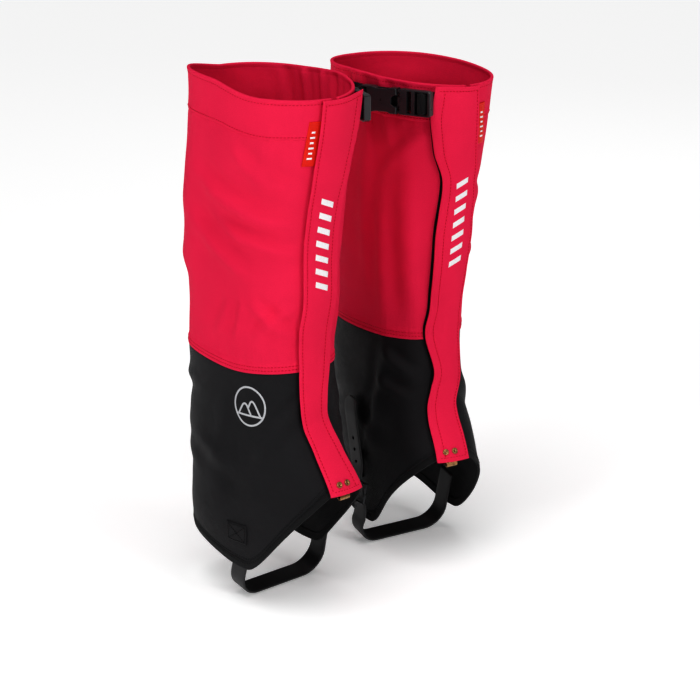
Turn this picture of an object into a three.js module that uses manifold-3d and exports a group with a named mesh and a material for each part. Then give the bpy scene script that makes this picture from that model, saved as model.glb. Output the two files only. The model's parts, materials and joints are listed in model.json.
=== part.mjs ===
// A pair of hiking gaiters, worn size, in millimetres, +Z up. The wearer faces -Y; the left gaiter is at +X.
// Each gaiter is laid out in its own directions: L towards the outer side of the leg, F forwards, z up.
import * as THREE from "three";
import { mergeVertices } from "three/addons/utils/BufferGeometryUtils.js";
import Module from "manifold-3d";

const wasm = await Module();
wasm.setup();

// ---- driving dimensions ----
const RIM_Z = 501; // top rim
const SEAM_Z = 240; // calf fabric meets ankle fabric
const BAND = 38; // folded hem at the rim
const BINDING = 9; // tape round the lower hem
const FABRIC = 2; // laminated fabric with its lining
const GAP = 0.3; // clearance between neighbouring pieces
const CLEAR = 0.9; // a layer's height above the fabric it is sewn to
const HEM = { front: 127, side: 36.6, back: 59, frontAngle: 77 };
const FLAP_HALF = 21; // half the width of the front flap
const FLAP_IN = 3.5; // flap's inner face above the body fabric
const FLAP_OUT = 5.3;
const FLAP_TOP = 497;
const FLAP_FOOT = 121;
const FLAP_SPLIT = 243; // below this the flap bends over the instep
const TAPE_TOP = 463; // touch tapes end under the calf webbing
const SQUARENESS = 2.4; // exponent of the rounded section
const SECTION_MID = -18; // F of the section's widest point
const STATION_Z = [33, 78, 124, 158, 198, 243, 338, 438, 501];
const FRONT = [98, 95, 79, 60, 45, 44, 56.5, 70, 77];
const BACK = [-114, -110, -110, -114, -118, -121, -120, -111, -104];
const OUTER_HALF = [52, 56, 55, 52, 50, 48.5, 54, 62, 65];
const INNER_HALF = [46, 49, 51, 51, 49, 48, 49.5, 54, 57.5];
const TURN = [0, -4, -3, -1, 1, 0, 0.5, 4, 7]; // degrees the front swings outwards
const FLAP_Z = [124, 158, 198, 243, 338, 438, 501];
const FLAP_L = [-4.2, -0.6, 5.5, 2, 5.2, 0.6, -4.3];
const WEB_Z = 482; // centre height of the calf webbing and its buckle
const WEB_HALF = 10.2;
const WEB_T = 1.8;
const BUCKLE = { turn: 65.2, middle: 15, lift: 1, thick: 9, half: 12.5, narrow: 25 / 30 };
const RELEASE_SLOPE = 0.009; // radians a prong flexes for each millimetre the plug moves
const STRAP_W = 20;
const STRAP_T = 2.6;
const STRAP_LEAN = 15; // degrees the foot strap leans forward
const STRAP_AXIS = { F: -8, z: 66 }; // line the foot strap swings about
const GRIP = { low: 57, high: 84, F: -13 };
const TAIL_TOP = 168;
const HOOK_L = { right: 0.4, left: -10.4 };
const PAIR = { spread: 94, step: 7.6, leftYaw: -10.4, leftDrop: 12.6 };

const RED = { color: 0xe0214a, roughness: 0.62, metalness: 0 };
const BLACK = { color: 0x1c1c1e, roughness: 0.7, metalness: 0 };
const WEBBING = { color: 0x141416, roughness: 0.75, metalness: 0 };
const PLASTIC = { color: 0x18191b, roughness: 0.42, metalness: 0 };
const RUBBER = { color: 0x2b2c2e, roughness: 0.6, metalness: 0 };
const BRASS = { color: 0xa9824c, roughness: 0.38, metalness: 1 };
const STEEL = { color: 0x3a3b3d, roughness: 0.35, metalness: 1 };
const LABEL = { color: 0xdd3a24, roughness: 0.55, metalness: 0 };

// ---- the leg surface ----
const rad = THREE.MathUtils.degToRad;
const lerp = THREE.MathUtils.lerp;

// Smooth value of a table at x: cubic with limited slopes, so it never overshoots a station.
function along(xs, ys, x) {
  const n = xs.length;
  const t = Math.min(Math.max(x, xs[0]), xs[n - 1]);
  const i = Math.min(xs.findIndex((v, k) => k > 0 && t <= v) - 1, n - 2);
  const step = (k) => (ys[k + 1] - ys[k]) / (xs[k + 1] - xs[k]);
  const slope = (k) => {
    if (k === 0 || k === n - 1) return step(Math.min(k, n - 2));
    const [a, b] = [step(k - 1), step(k)];
    return a * b <= 0 ? 0 : (2 * a * b) / (a + b);
  };
  const h = xs[i + 1] - xs[i];
  const u = (t - xs[i]) / h;
  const [a, b] = [ys[i], ys[i + 1]];
  return a * (1 + 2 * u) * (1 - u) ** 2 + b * u * u * (3 - 2 * u) +
    h * u * (1 - u) * (slope(i) * (1 - u) - slope(i + 1) * u);
}

// Point of the outer fabric surface; angle 0 is forwards and grows towards the outer side.
function surface(angle, z) {
  const [c, s] = [Math.cos(angle), Math.sin(angle)];
  const deep = c >= 0 ? along(STATION_Z, FRONT, z) - SECTION_MID : SECTION_MID - along(STATION_Z, BACK, z);
  const wide = s >= 0 ? along(STATION_Z, OUTER_HALF, z) : along(STATION_Z, INNER_HALF, z);
  const r = (Math.abs(c / deep) ** SQUARENESS + Math.abs(s / wide) ** SQUARENESS) ** (-1 / SQUARENESS);
  const turn = rad(along(STATION_Z, TURN, z));
  const [l, f] = [r * s, r * c];
  return new THREE.Vector3(
    l * Math.cos(turn) + f * Math.sin(turn),
    SECTION_MID + f * Math.cos(turn) - l * Math.sin(turn),
    z,
  );
}

function outward(angle, z) {
  const e = 1e-3;
  const across = surface(angle + e, z).sub(surface(angle - e, z));
  const up = surface(angle, Math.min(z + 0.5, RIM_Z)).sub(surface(angle, z - 0.5));
  const n = up.cross(across).normalize();
  return n;
}

const off = (angle, z, d) => surface(angle, z).addScaledVector(outward(angle, z), d);
const flapCentre = (z) => along(FLAP_Z, FLAP_L, z);

// Angle at the front whose surface point lies at L.
function angleAt(L, z) {
  let [lo, hi] = [-1.3, 1.3];
  for (let k = 0; k < 40; k++) {
    const mid = (lo + hi) / 2;
    if (surface(mid, z).x < L) lo = mid;
    else hi = mid;
  }
  return (lo + hi) / 2;
}

function hemZ(angle) {
  const t = Math.abs(Math.atan2(Math.sin(angle), Math.cos(angle)));
  const t0 = rad(HEM.frontAngle);
  if (t < t0) return HEM.side + (HEM.front - HEM.side) * Math.cos(((t / t0) * Math.PI) / 2) ** 2;
  return HEM.side + (HEM.back - HEM.side) * Math.sin((((t - t0) / (Math.PI - t0)) * Math.PI) / 2) ** 3;
}

// ---- solids ----
// Closed slab between two grids of points; inner(u, v) and outer(u, v) give them.
function slab(inner, outer, nu, nv) {
  const pos = [];
  const idx = [];
  const W = nv + 1;
  const N = (nu + 1) * W;
  for (const f of [inner, outer])
    for (let i = 0; i <= nu; i++) for (let j = 0; j <= nv; j++) pos.push(...f(i / nu, j / nv).toArray());
  const quad = (a, b, c, d) => idx.push(a, b, c, a, c, d);
  for (let i = 0; i < nu; i++)
    for (let j = 0; j < nv; j++) {
      const a = i * W + j;
      quad(a, a + 1, a + W + 1, a + W);
      quad(N + a, N + a + W, N + a + W + 1, N + a + 1);
    }
  for (let i = 0; i < nu; i++) {
    const [a, b] = [i * W, i * W + nv];
    quad(a, a + W, N + a + W, N + a);
    quad(b, N + b, N + b + W, b + W);
  }
  for (let j = 0; j < nv; j++) {
    const [a, b] = [j, nu * W + j];
    quad(a, N + a, N + a + 1, a + 1);
    quad(b, b + 1, N + b + 1, N + b);
  }
  const g = new THREE.BufferGeometry();
  g.setAttribute("position", new THREE.Float32BufferAttribute(pos, 3));
  g.setIndex(idx);
  return facingOut(g);
}

// Turns a closed geometry's faces outwards.
function facingOut(g) {
  const p = g.attributes.position;
  const [a, b, c] = [new THREE.Vector3(), new THREE.Vector3(), new THREE.Vector3()];
  let volume = 0;
  for (let i = 0; i < g.index.count; i += 3) {
    a.fromBufferAttribute(p, g.index.getX(i));
    b.fromBufferAttribute(p, g.index.getX(i + 1));
    c.fromBufferAttribute(p, g.index.getX(i + 2));
    volume += a.dot(b.cross(c));
  }
  if (volume < 0) g.setIndex(Array.from(g.index.array).reverse());
  return g;
}

// Piece of cloth on the leg surface; point(u, v) gives its angle and height.
const cloth = (point, d0, d1, nu, nv) =>
  slab((u, v) => off(...point(u, v), d0), (u, v) => off(...point(u, v), d1), nu, nv);

// Ribbon of width w along F and thickness t, through points (L, z) of a plane; it leans by lean degrees.
function ribbon(points, w, t, F) {
  const at = (k) => points[Math.min(Math.max(k, 0), points.length - 1)];
  const side = (k) => {
    const [p, q] = [at(k - 1), at(k + 1)];
    const n = new THREE.Vector2(q[1] - p[1], p[0] - q[0]).normalize();
    return n;
  };
  const n = points.length - 1;
  const face = (s) => (u, v) => {
    const k = Math.round(u * n);
    const [p, m] = [at(k), side(k)];
    const f = typeof F === "function" ? F(p[1]) : F;
    return new THREE.Vector3(p[0] + (m.x * s * t) / 2, f + (v - 0.5) * w, p[1] + (m.y * s * t) / 2);
  };
  return slab(face(-1), face(1), n, 1);
}

function toManifold(g) {
  const p = g.clone();
  for (const name of Object.keys(p.attributes)) if (name !== "position") p.deleteAttribute(name);
  const m = mergeVertices(p, 1e-4);
  return new wasm.Manifold(new wasm.Mesh({
    numProp: 3,
    vertProperties: new Float32Array(m.attributes.position.array),
    triVerts: new Uint32Array(m.index.array),
  }));
}

function fromManifold(s) {
  const m = s.getMesh();
  const g = new THREE.BufferGeometry();
  g.setAttribute("position", new THREE.BufferAttribute(new Float32Array(m.vertProperties), 3));
  g.setIndex(new THREE.BufferAttribute(new Uint32Array(m.triVerts), 1));
  return g;
}

const cut = (g, ...tools) => fromManifold(tools.reduce((s, t) => s.subtract(toManifold(t)), toManifold(g)));
const join = (g, ...more) => fromManifold(more.reduce((s, t) => s.add(toManifold(t)), toManifold(g)));

function box(x0, x1, y0, y1, z0, z1) {
  const g = new THREE.BoxGeometry(x1 - x0, y1 - y0, z1 - z0);
  return g.translate((x0 + x1) / 2, (y0 + y1) / 2, (z0 + z1) / 2);
}

// Plate of a given outline in x and y, between z0 and z1, edges eased by bevel.
function plate(outline, z0, z1, bevel = 0.6) {
  const shape = new THREE.Shape(outline.map(([x, y]) => new THREE.Vector2(x, y)));
  const g = new THREE.ExtrudeGeometry(shape, {
    depth: z1 - z0 - 2 * bevel, bevelEnabled: bevel > 0, bevelSize: bevel, bevelThickness: bevel,
    bevelOffset: -bevel, bevelSegments: 1, curveSegments: 6,
  });
  return g.translate(0, 0, z0 + bevel);
}

const mirrored = (outline) => [...outline, ...outline.slice().reverse().map(([x, y]) => [x, -y])];

// ---- sewn pieces ----
const bodyEdge = (side) => (z) => angleAt(flapCentre(z) + (side > 0 ? 14 : 8), z);

// The body wraps from its outer front edge round the back to its inner front edge, leaving a slit.
function round(z, u) {
  return lerp(bodyEdge(1)(z), bodyEdge(-1)(z) + 2 * Math.PI, u);
}

const wrap = (low, high) => (u, v) => {
  const a = round(150, u);
  const z = lerp(low(a), high(a), v);
  return [round(z, u), z];
};

function upperPanel() {
  return cloth(wrap(() => SEAM_Z + GAP / 2, () => RIM_Z - BAND - GAP), -FABRIC, 0, 50, 6);
}

function topBand() {
  return cloth(wrap(() => RIM_Z - BAND, () => RIM_Z), -FABRIC - 0.6, 0.4, 50, 1);
}

function lowerPanel() {
  return cloth(wrap((a) => hemZ(a) + BINDING + GAP, () => SEAM_Z - GAP / 2), -FABRIC, 0, 50, 6);
}

function hemBinding() {
  return cloth(wrap(hemZ, (a) => hemZ(a) + BINDING), -FABRIC - 0.5, 0.5, 50, 1);
}

const strip = (from, to, low, high) => (u, v) => {
  const z = lerp(low, high, v);
  return [angleAt(flapCentre(z) + lerp(from, to, u), z), z];
};

const coverFlap = () => cloth(strip(-FLAP_HALF, FLAP_HALF, FLAP_SPLIT + GAP, FLAP_TOP), FLAP_IN, FLAP_OUT, 5, 12);
const flapFoot = () => cloth(strip(-FLAP_HALF, FLAP_HALF, FLAP_FOOT, FLAP_SPLIT), FLAP_IN, FLAP_OUT, 5, 10);
const loopTape = () => cloth(strip(-18, 6, 145, TAPE_TOP), CLEAR, 1.8, 3, 22);
const hookTape = () => cloth(strip(-17, 5, FLAP_SPLIT + 4, TAPE_TOP), 2.3, 3.1, 3, 12);
const sideLabel = () => cloth(strip(FLAP_HALF + 1, FLAP_HALF + 15, 438, 481), 1, 1.9, 3, 4);

function anchorPatch() {
  const spot = (u, v) => {
    const z = lerp(62, 82, v);
    return [rad(lerp(99.5, 73, u)), z];
  };
  return cloth(spot, CLEAR, 1.5, 4, 3);
}

// ---- calf webbing and its side-release buckle ----
// Buckle frame: x towards the front flap, y up, z away from the leg.
function buckleFrame() {
  const x = new THREE.Vector3(Math.cos(rad(BUCKLE.turn)), Math.sin(rad(BUCKLE.turn)), 0);
  const y = new THREE.Vector3(0, 0, 1);
  const z = new THREE.Vector3(-x.y, x.x, 0);
  let reach = 0;
  for (let a = -100; a < 0; a++) reach = Math.max(reach, off(rad(a), WEB_Z + BUCKLE.half, 0.4).dot(z));
  const at = x.clone().multiplyScalar(BUCKLE.middle).addScaledVector(z, reach + BUCKLE.lift);
  // x, y and z make a left-handed set in L, F, z; the gaiter group turns it right again.
  return new THREE.Matrix4().makeBasis(x, y, z).setPosition(at.setZ(WEB_Z));
}

// Buckle pieces are laid out for a 30 mm wide body and narrowed to the real width.
const inBuckle = (g) => facingOut(indexed(g).scale(1, BUCKLE.narrow, 1).applyMatrix4(buckleFrame()));

function indexed(g) {
  for (const name of Object.keys(g.attributes)) if (name !== "position") g.deleteAttribute(name);
  return g.index ? g : mergeVertices(g, 1e-4);
}

function socket() {
  const outline = mirrored([[-39, 12], [-37, 15], [-26, 15], [-21, 13.4], [-8.5, 13.4], [-5, 15], [2, 15]]);
  const body = plate(outline, 0, BUCKLE.thick);
  return inBuckle(cut(body,
    box(-26, 3, -11.5, 11.5, 2, 7),
    box(-21, -8.7, 10, 17, 1.6, 7.4),
    box(-21, -8.7, -17, -10, 1.6, 7.4),
    box(-36, -31, -13, 13, -1, 10),
    plate(mirrored([[-4, 4], [0, 7], [4, 7]]), 6, 10, 0)));
}

function plug() {
  const base = plate(mirrored([[2.6, 13.6], [6, 15], [36, 15], [39, 13]]), 1, 8);
  return inBuckle(cut(base,
    box(13, 18, -12.8, 12.8, 0, 10),
    box(22, 27, -12.8, 12.8, 0, 10),
    box(31, 36, -12.8, 12.8, 0, 10),
    box(1, 5.4, 5.6, 10.6, 0, 10),
    box(1, 5.4, -10.6, -5.6, 0, 10)));
}

function prong(side) {
  const arm = [[4.8, 6.5], [-18.5, 6.6], [-20, 8.4], [-17, 12.7], [-13, 11.9], [-9.3, 11], [-7, 9.2], [4.8, 10]];
  const outline = arm.map(([x, y]) => [x, side * y]);
  if (side < 0) outline.reverse();
  return inBuckle(plate(outline, 2.6, 6.4, 0.4));
}

// Webbing that leaves the buckle a rise off its back face and settles on the fabric.
function webbing(start, rise, settle, end) {
  const frame = buckleFrame();
  const point = (d) => (u, v) => {
    const z = WEB_Z + (v - 0.5) * 2 * WEB_HALF;
    const a = lerp(settle(z), end(z), Math.max(0, (u - 0.4) / 0.6));
    const onLeg = off(a, z, 0.8 + d);
    if (u >= 0.4) return onLeg;
    const away = new THREE.Vector3(start, z - WEB_Z, rise + d).applyMatrix4(frame);
    return away.lerp(onLeg, u / 0.4);
  };
  return slab(point(0), point(WEB_T), 10, 1);
}

const plugWebbing = () =>
  webbing(29, -2.9, (z) => angleAt(flapCentre(z) - 24, z), (z) => angleAt(flapCentre(z) + 11, z));
const socketWebbing = () => webbing(-39.4, 3.6, () => rad(-86), () => rad(-114));

// ---- lace hook and rivets ----
function onInstep(g, L, z, d) {
  const a = angleAt(L, z);
  const n = outward(a, z);
  const x = new THREE.Vector3(1, 0, 0);
  x.addScaledVector(n, -x.dot(n)).normalize();
  const y = new THREE.Vector3().crossVectors(n, x);
  const m = new THREE.Matrix4().makeBasis(x, y, n).setPosition(off(a, z, d));
  return facingOut(indexed(g).applyMatrix4(m));
}

function laceHook(L) {
  // Side profile: y down the instep, z away from the leg.
  const outline = [[-8, 0], [11, 0], [13, -0.8], [14, -2.6], [13, -4.4], [11, -5.2], [5, -5.2], [5, -4],
    [10.6, -4], [12, -3.4], [12.6, -2.6], [12, -1.8], [10.6, -1], [-8, -1]];
  const profile = new THREE.Shape(outline.map(([y, z]) => new THREE.Vector2(y, z)));
  const g = new THREE.ExtrudeGeometry(profile, { depth: 12, bevelEnabled: false });
  const turn = new THREE.Matrix4().set(0, 0, 1, -6, 1, 0, 0, 0, 0, 1, 0, 0, 0, 0, 0, 1);
  return onInstep(g.applyMatrix4(turn), L, 130, 2.4);
}

function rivet(L) {
  const profile = [[0, 0], [3, 0], [3, 0.5], [2.4, 1.1], [1.3, 1.5], [0, 1.6]];
  const g = new THREE.LatheGeometry(profile.map(([x, y]) => new THREE.Vector2(x, y)), 16);
  return onInstep(g.rotateX(Math.PI / 2), L, 130, FLAP_OUT + GAP);
}

// ---- foot strap ----
// Under the boot the strap is a loop in a plane that leans forward; drop shortens the left one by a hole.
function footStrap(shorter) {
  const lean = rad(STRAP_LEAN);
  const low = (STRAP_W / 2) * Math.sin(lean) + 0.2;
  const reach = (STRAP_AXIS.z - shorter - low) / Math.cos(lean) - STRAP_T / 2;
  const path = [[46.2, 10], [46.2, -12], [46, -reach + 30]];
  arc(path, 24, -reach + 22, 22, 0, -90);
  arc(path, -36, -reach + 22, 22, -90, -180);
  path.push([-56.8, -24], [-56.9, -13]);
  const g = ribbon(path, STRAP_W, STRAP_T, 0);
  return facingOut(g.rotateX(-lean).translate(0, STRAP_AXIS.F, STRAP_AXIS.z));
}

function arc(path, x, z, r, from, to) {
  for (let k = 0; k <= 6; k++) {
    const a = rad(lerp(from, to, k / 6));
    path.push([x + r * Math.cos(a), z + r * Math.sin(a)]);
  }
}

const innerSide = (z) => off(rad(-96), z, 0).x;

// Stretch of strap inside the buckle: behind the lower bar, in front of the upper one.
function strapGrip() {
  const g = ribbon([[-56.9, 57.6], [-57.4, 62], [-58.6, 68], [-60, 75], [-60.9, 80], [-61, 84]],
    STRAP_W, STRAP_T, GRIP.F);
  return cut(g, box(-70, -50, GRIP.F - 2, GRIP.F + 2, 66.5, 79.5));
}

function strapTail() {
  const F = (z) => GRIP.F - (z - GRIP.high) * 0.24;
  const path = [84.4, 100, 120, 140, 156].map((z) => [Math.min(innerSide(z) - 3.4, -57.6), z]);
  path[0][0] = -61;
  path.push([-57.2, TAIL_TOP]);
  const tail = ribbon(path, STRAP_W, STRAP_T, F);
  const hole = (z) => new THREE.CylinderGeometry(1.7, 1.7, 20, 12).rotateZ(Math.PI / 2).translate(-58, F(z), z);
  const corner = box(-70, -45, -5, 40, 0, 30).rotateX(rad(-28)).translate(0, F(TAIL_TOP) - 5, TAIL_TOP);
  return cut(tail, ...[90, 102, 114, 126].map(hole), corner);
}

function rod(points, r) {
  const path = new THREE.CurvePath();
  const v = points.map((p) => new THREE.Vector3(...p));
  for (let k = 1; k < v.length; k++) path.add(new THREE.LineCurve3(v[k - 1], v[k]));
  return path.curves.map((c) => {
    const d = c.v2.clone().sub(c.v1);
    const g = new THREE.CylinderGeometry(r, r, d.length() + 0.6 * r, 10);
    const q = new THREE.Quaternion().setFromUnitVectors(new THREE.Vector3(0, 1, 0), d.clone().normalize());
    return g.applyQuaternion(q).translate(...c.v1.clone().add(c.v2).multiplyScalar(0.5).toArray());
  });
}

function strapFrame() {
  const [lo, hi] = [[-60.9, 61.5], [-57.3, 81.6]];
  const [a, b] = [GRIP.F - 12.6, GRIP.F + 12.6];
  const [first, ...rest] = rod([[lo[0], a, lo[1]], [lo[0], b, lo[1]], [hi[0], b, hi[1]], [hi[0], a, hi[1]],
    [lo[0], a, lo[1]]], 1.2);
  return join(first, ...rest);
}

function strapTongue() {
  const F = GRIP.F;
  const [first, ...rest] = rod([[-58, F, 78.9], [-61.4, F, 70.5], [-63.4, F, 62.5], [-63.4, F, 60.5]], 0.9);
  return join(first, ...rest);
}

const strapTab = () => cloth((u, v) => {
  const z = lerp(83.4, 112, v);
  return [rad(lerp(-100, -86, u)), z];
}, CLEAR, 1.8, 4, 3);

function tabRivet() {
  const a = rad(-93);
  const profile = [[0, 0], [3.2, 0], [3.2, 0.6], [2.2, 1.1], [0, 1.3]];
  const g = new THREE.LatheGeometry(profile.map(([x, y]) => new THREE.Vector2(x, y)), 16);
  const p = off(a, 106, 1.8 + GAP);
  return facingOut(indexed(g.rotateZ(Math.PI / 2)).translate(p.x, p.y, p.z));
}

// ---- one gaiter ----
function pieces(shorter, hookL) {
  return [
    ["upper_panel", upperPanel(), RED],
    ["top_band", topBand(), RED],
    ["lower_panel", lowerPanel(), BLACK],
    ["hem_binding", hemBinding(), WEBBING],
    ["cover_flap", coverFlap(), RED],
    ["flap_foot", flapFoot(), RED],
    ["loop_tape", loopTape(), WEBBING],
    ["hook_tape", hookTape(), WEBBING],
    ["side_label", sideLabel(), LABEL],
    ["anchor_patch", anchorPatch(), BLACK],
    ["socket_webbing", socketWebbing(), WEBBING],
    ["plug_webbing", plugWebbing(), WEBBING],
    ["buckle_socket", socket(), PLASTIC],
    ["buckle_plug", plug(), PLASTIC],
    ["prong_upper", prong(1), PLASTIC],
    ["prong_lower", prong(-1), PLASTIC],
    ["lace_hook", laceHook(hookL), BRASS],
    ["hook_rivet_a", rivet(hookL + 4.5), BRASS],
    ["hook_rivet_b", rivet(hookL - 4.5), BRASS],
    ["foot_strap", footStrap(shorter), RUBBER],
    ["strap_grip", strapGrip(), RUBBER],
    ["strap_tail", strapTail(), RUBBER],
    ["strap_frame", strapFrame(), STEEL],
    ["strap_tongue", strapTongue(), STEEL],
    ["strap_tab", strapTab(), WEBBING],
    ["tab_rivet", tabRivet(), BRASS],
  ];
}

// L and F become x and y: forwards is -Y, and the outer side is +X on the left leg and -X on the right.
function stand(g, side) {
  const flat = facingOut(indexed(g).clone().scale(side, -1, 1));
  return facingOut(flat);
}

function gaiter(prefix, side, shorter, hookL) {
  const group = new THREE.Group();
  for (const [name, geometry, look] of pieces(shorter, hookL)) {
    const mesh = new THREE.Mesh(stand(geometry, side), new THREE.MeshStandardMaterial(look));
    mesh.name = prefix + name;
    group.add(mesh);
  }
  return group;
}

const pair = new THREE.Group();
const right = gaiter("r_", -1, 0, HOOK_L.right);
right.position.set(-PAIR.spread, -PAIR.step, 0);
const left = gaiter("l_", 1, PAIR.leftDrop, HOOK_L.left);
left.position.set(PAIR.spread, PAIR.step, -PAIR.leftDrop);
left.rotation.z = rad(PAIR.leftYaw);
pair.add(right, left);

export default pair;
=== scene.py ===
"""A pair of hiking gaiters: red calf tubes over black ankle panels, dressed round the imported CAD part.

Lengths inside the classes are millimetres in a gaiter's own directions: L towards the outer side of the leg,
F forwards and z up. Stance turns them into metres in the part's frame.
"""

import json
import logging
import math
from dataclasses import dataclass
from enum import Enum
from typing import Callable, Sequence

import bmesh
import bpy
import numpy as np
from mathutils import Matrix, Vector

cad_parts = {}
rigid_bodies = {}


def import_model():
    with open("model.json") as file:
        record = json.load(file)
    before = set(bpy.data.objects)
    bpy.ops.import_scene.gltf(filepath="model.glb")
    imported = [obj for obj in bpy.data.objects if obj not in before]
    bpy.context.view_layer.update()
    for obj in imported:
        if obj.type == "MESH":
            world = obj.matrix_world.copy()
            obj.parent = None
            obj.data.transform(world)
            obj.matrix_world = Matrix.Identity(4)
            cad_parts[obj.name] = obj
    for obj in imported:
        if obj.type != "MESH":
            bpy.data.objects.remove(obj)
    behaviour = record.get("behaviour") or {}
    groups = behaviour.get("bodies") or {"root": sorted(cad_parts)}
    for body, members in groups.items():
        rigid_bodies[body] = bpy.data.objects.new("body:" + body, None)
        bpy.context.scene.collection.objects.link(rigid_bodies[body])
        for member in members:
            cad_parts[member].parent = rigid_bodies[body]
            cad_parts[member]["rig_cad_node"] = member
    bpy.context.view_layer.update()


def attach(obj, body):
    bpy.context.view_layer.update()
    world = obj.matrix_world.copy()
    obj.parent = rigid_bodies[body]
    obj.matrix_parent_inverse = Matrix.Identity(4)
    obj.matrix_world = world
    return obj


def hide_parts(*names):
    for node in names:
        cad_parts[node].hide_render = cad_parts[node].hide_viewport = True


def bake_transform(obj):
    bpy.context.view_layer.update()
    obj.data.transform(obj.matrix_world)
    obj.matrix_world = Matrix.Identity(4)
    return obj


LOG = logging.getLogger("gaiters")
Array = np.ndarray

DEGREE = 0.95  # millimetres that one degree round the leg counts for in folds
HALF_ROUND = 171.0  # millimetres from the front to the back at that rate
FOLD_GAIN = 1.65  # every fold is this many times as deep as its table says
ON_FLAP = 0.35  # share of the body's folds that the front flap follows
FLAP_BEND = ((0, 0, 231), (0, 0, 262))  # heights given for the flap's bend when it is peeled; nothing bends the flap's cloth between them


class Side(Enum):
    """Which leg a gaiter is worn on; the value is the sign of x for its outer side."""

    LEFT = 1
    RIGHT = -1

    @property
    def prefix(self) -> str:
        """Start of the names of this gaiter's nodes and bodies."""
        return "l_" if self is Side.LEFT else "r_"


# ---------------------------------------------------------------- shape of the leg


def eased(stations: Array, values: Array, x: Array) -> Array:
    """Cubic through the stations whose slopes are harmonic means, so it never overshoots.

    Args:
        stations: rising positions.
        values: value at each position.
        x: where the curve is wanted, any shape.

    Returns:
        The curve's values, in the shape of x.
    """
    step = np.diff(values) / np.diff(stations)
    a, b = step[:-1], step[1:]
    with np.errstate(divide="ignore", invalid="ignore"):
        middle = np.where(a * b > 0, 2 * a * b / (a + b), 0.0)
    slope = np.concatenate([step[:1], middle, step[-1:]])
    t = np.clip(x, stations[0], stations[-1])
    i = np.clip(np.searchsorted(stations, t) - 1, 0, len(stations) - 2)
    h = stations[i + 1] - stations[i]
    u = (t - stations[i]) / h
    return (
        values[i] * (1 + 2 * u) * (1 - u) ** 2
        + values[i + 1] * u * u * (3 - 2 * u)
        + h * u * (1 - u) * (slope[i] * (1 - u) - slope[i + 1] * u)
    )


def ramp(x: Array, low: float, high: float) -> Array:
    """Smooth step from 0 at low to 1 at high, by the polynomial 3t^2 - 2t^3."""
    t = np.clip((x - low) / (high - low), 0, 1)
    return t * t * (3 - 2 * t)


def bell(x: Array, middle: float, width: float) -> Array:
    """Gaussian bump of height 1 about middle."""
    return np.exp(-(((x - middle) / width) ** 2))


def unit(vectors: Array) -> Array:
    """Vectors along the last axis, made one long."""
    return vectors / np.linalg.norm(vectors, axis=-1, keepdims=True)


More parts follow.
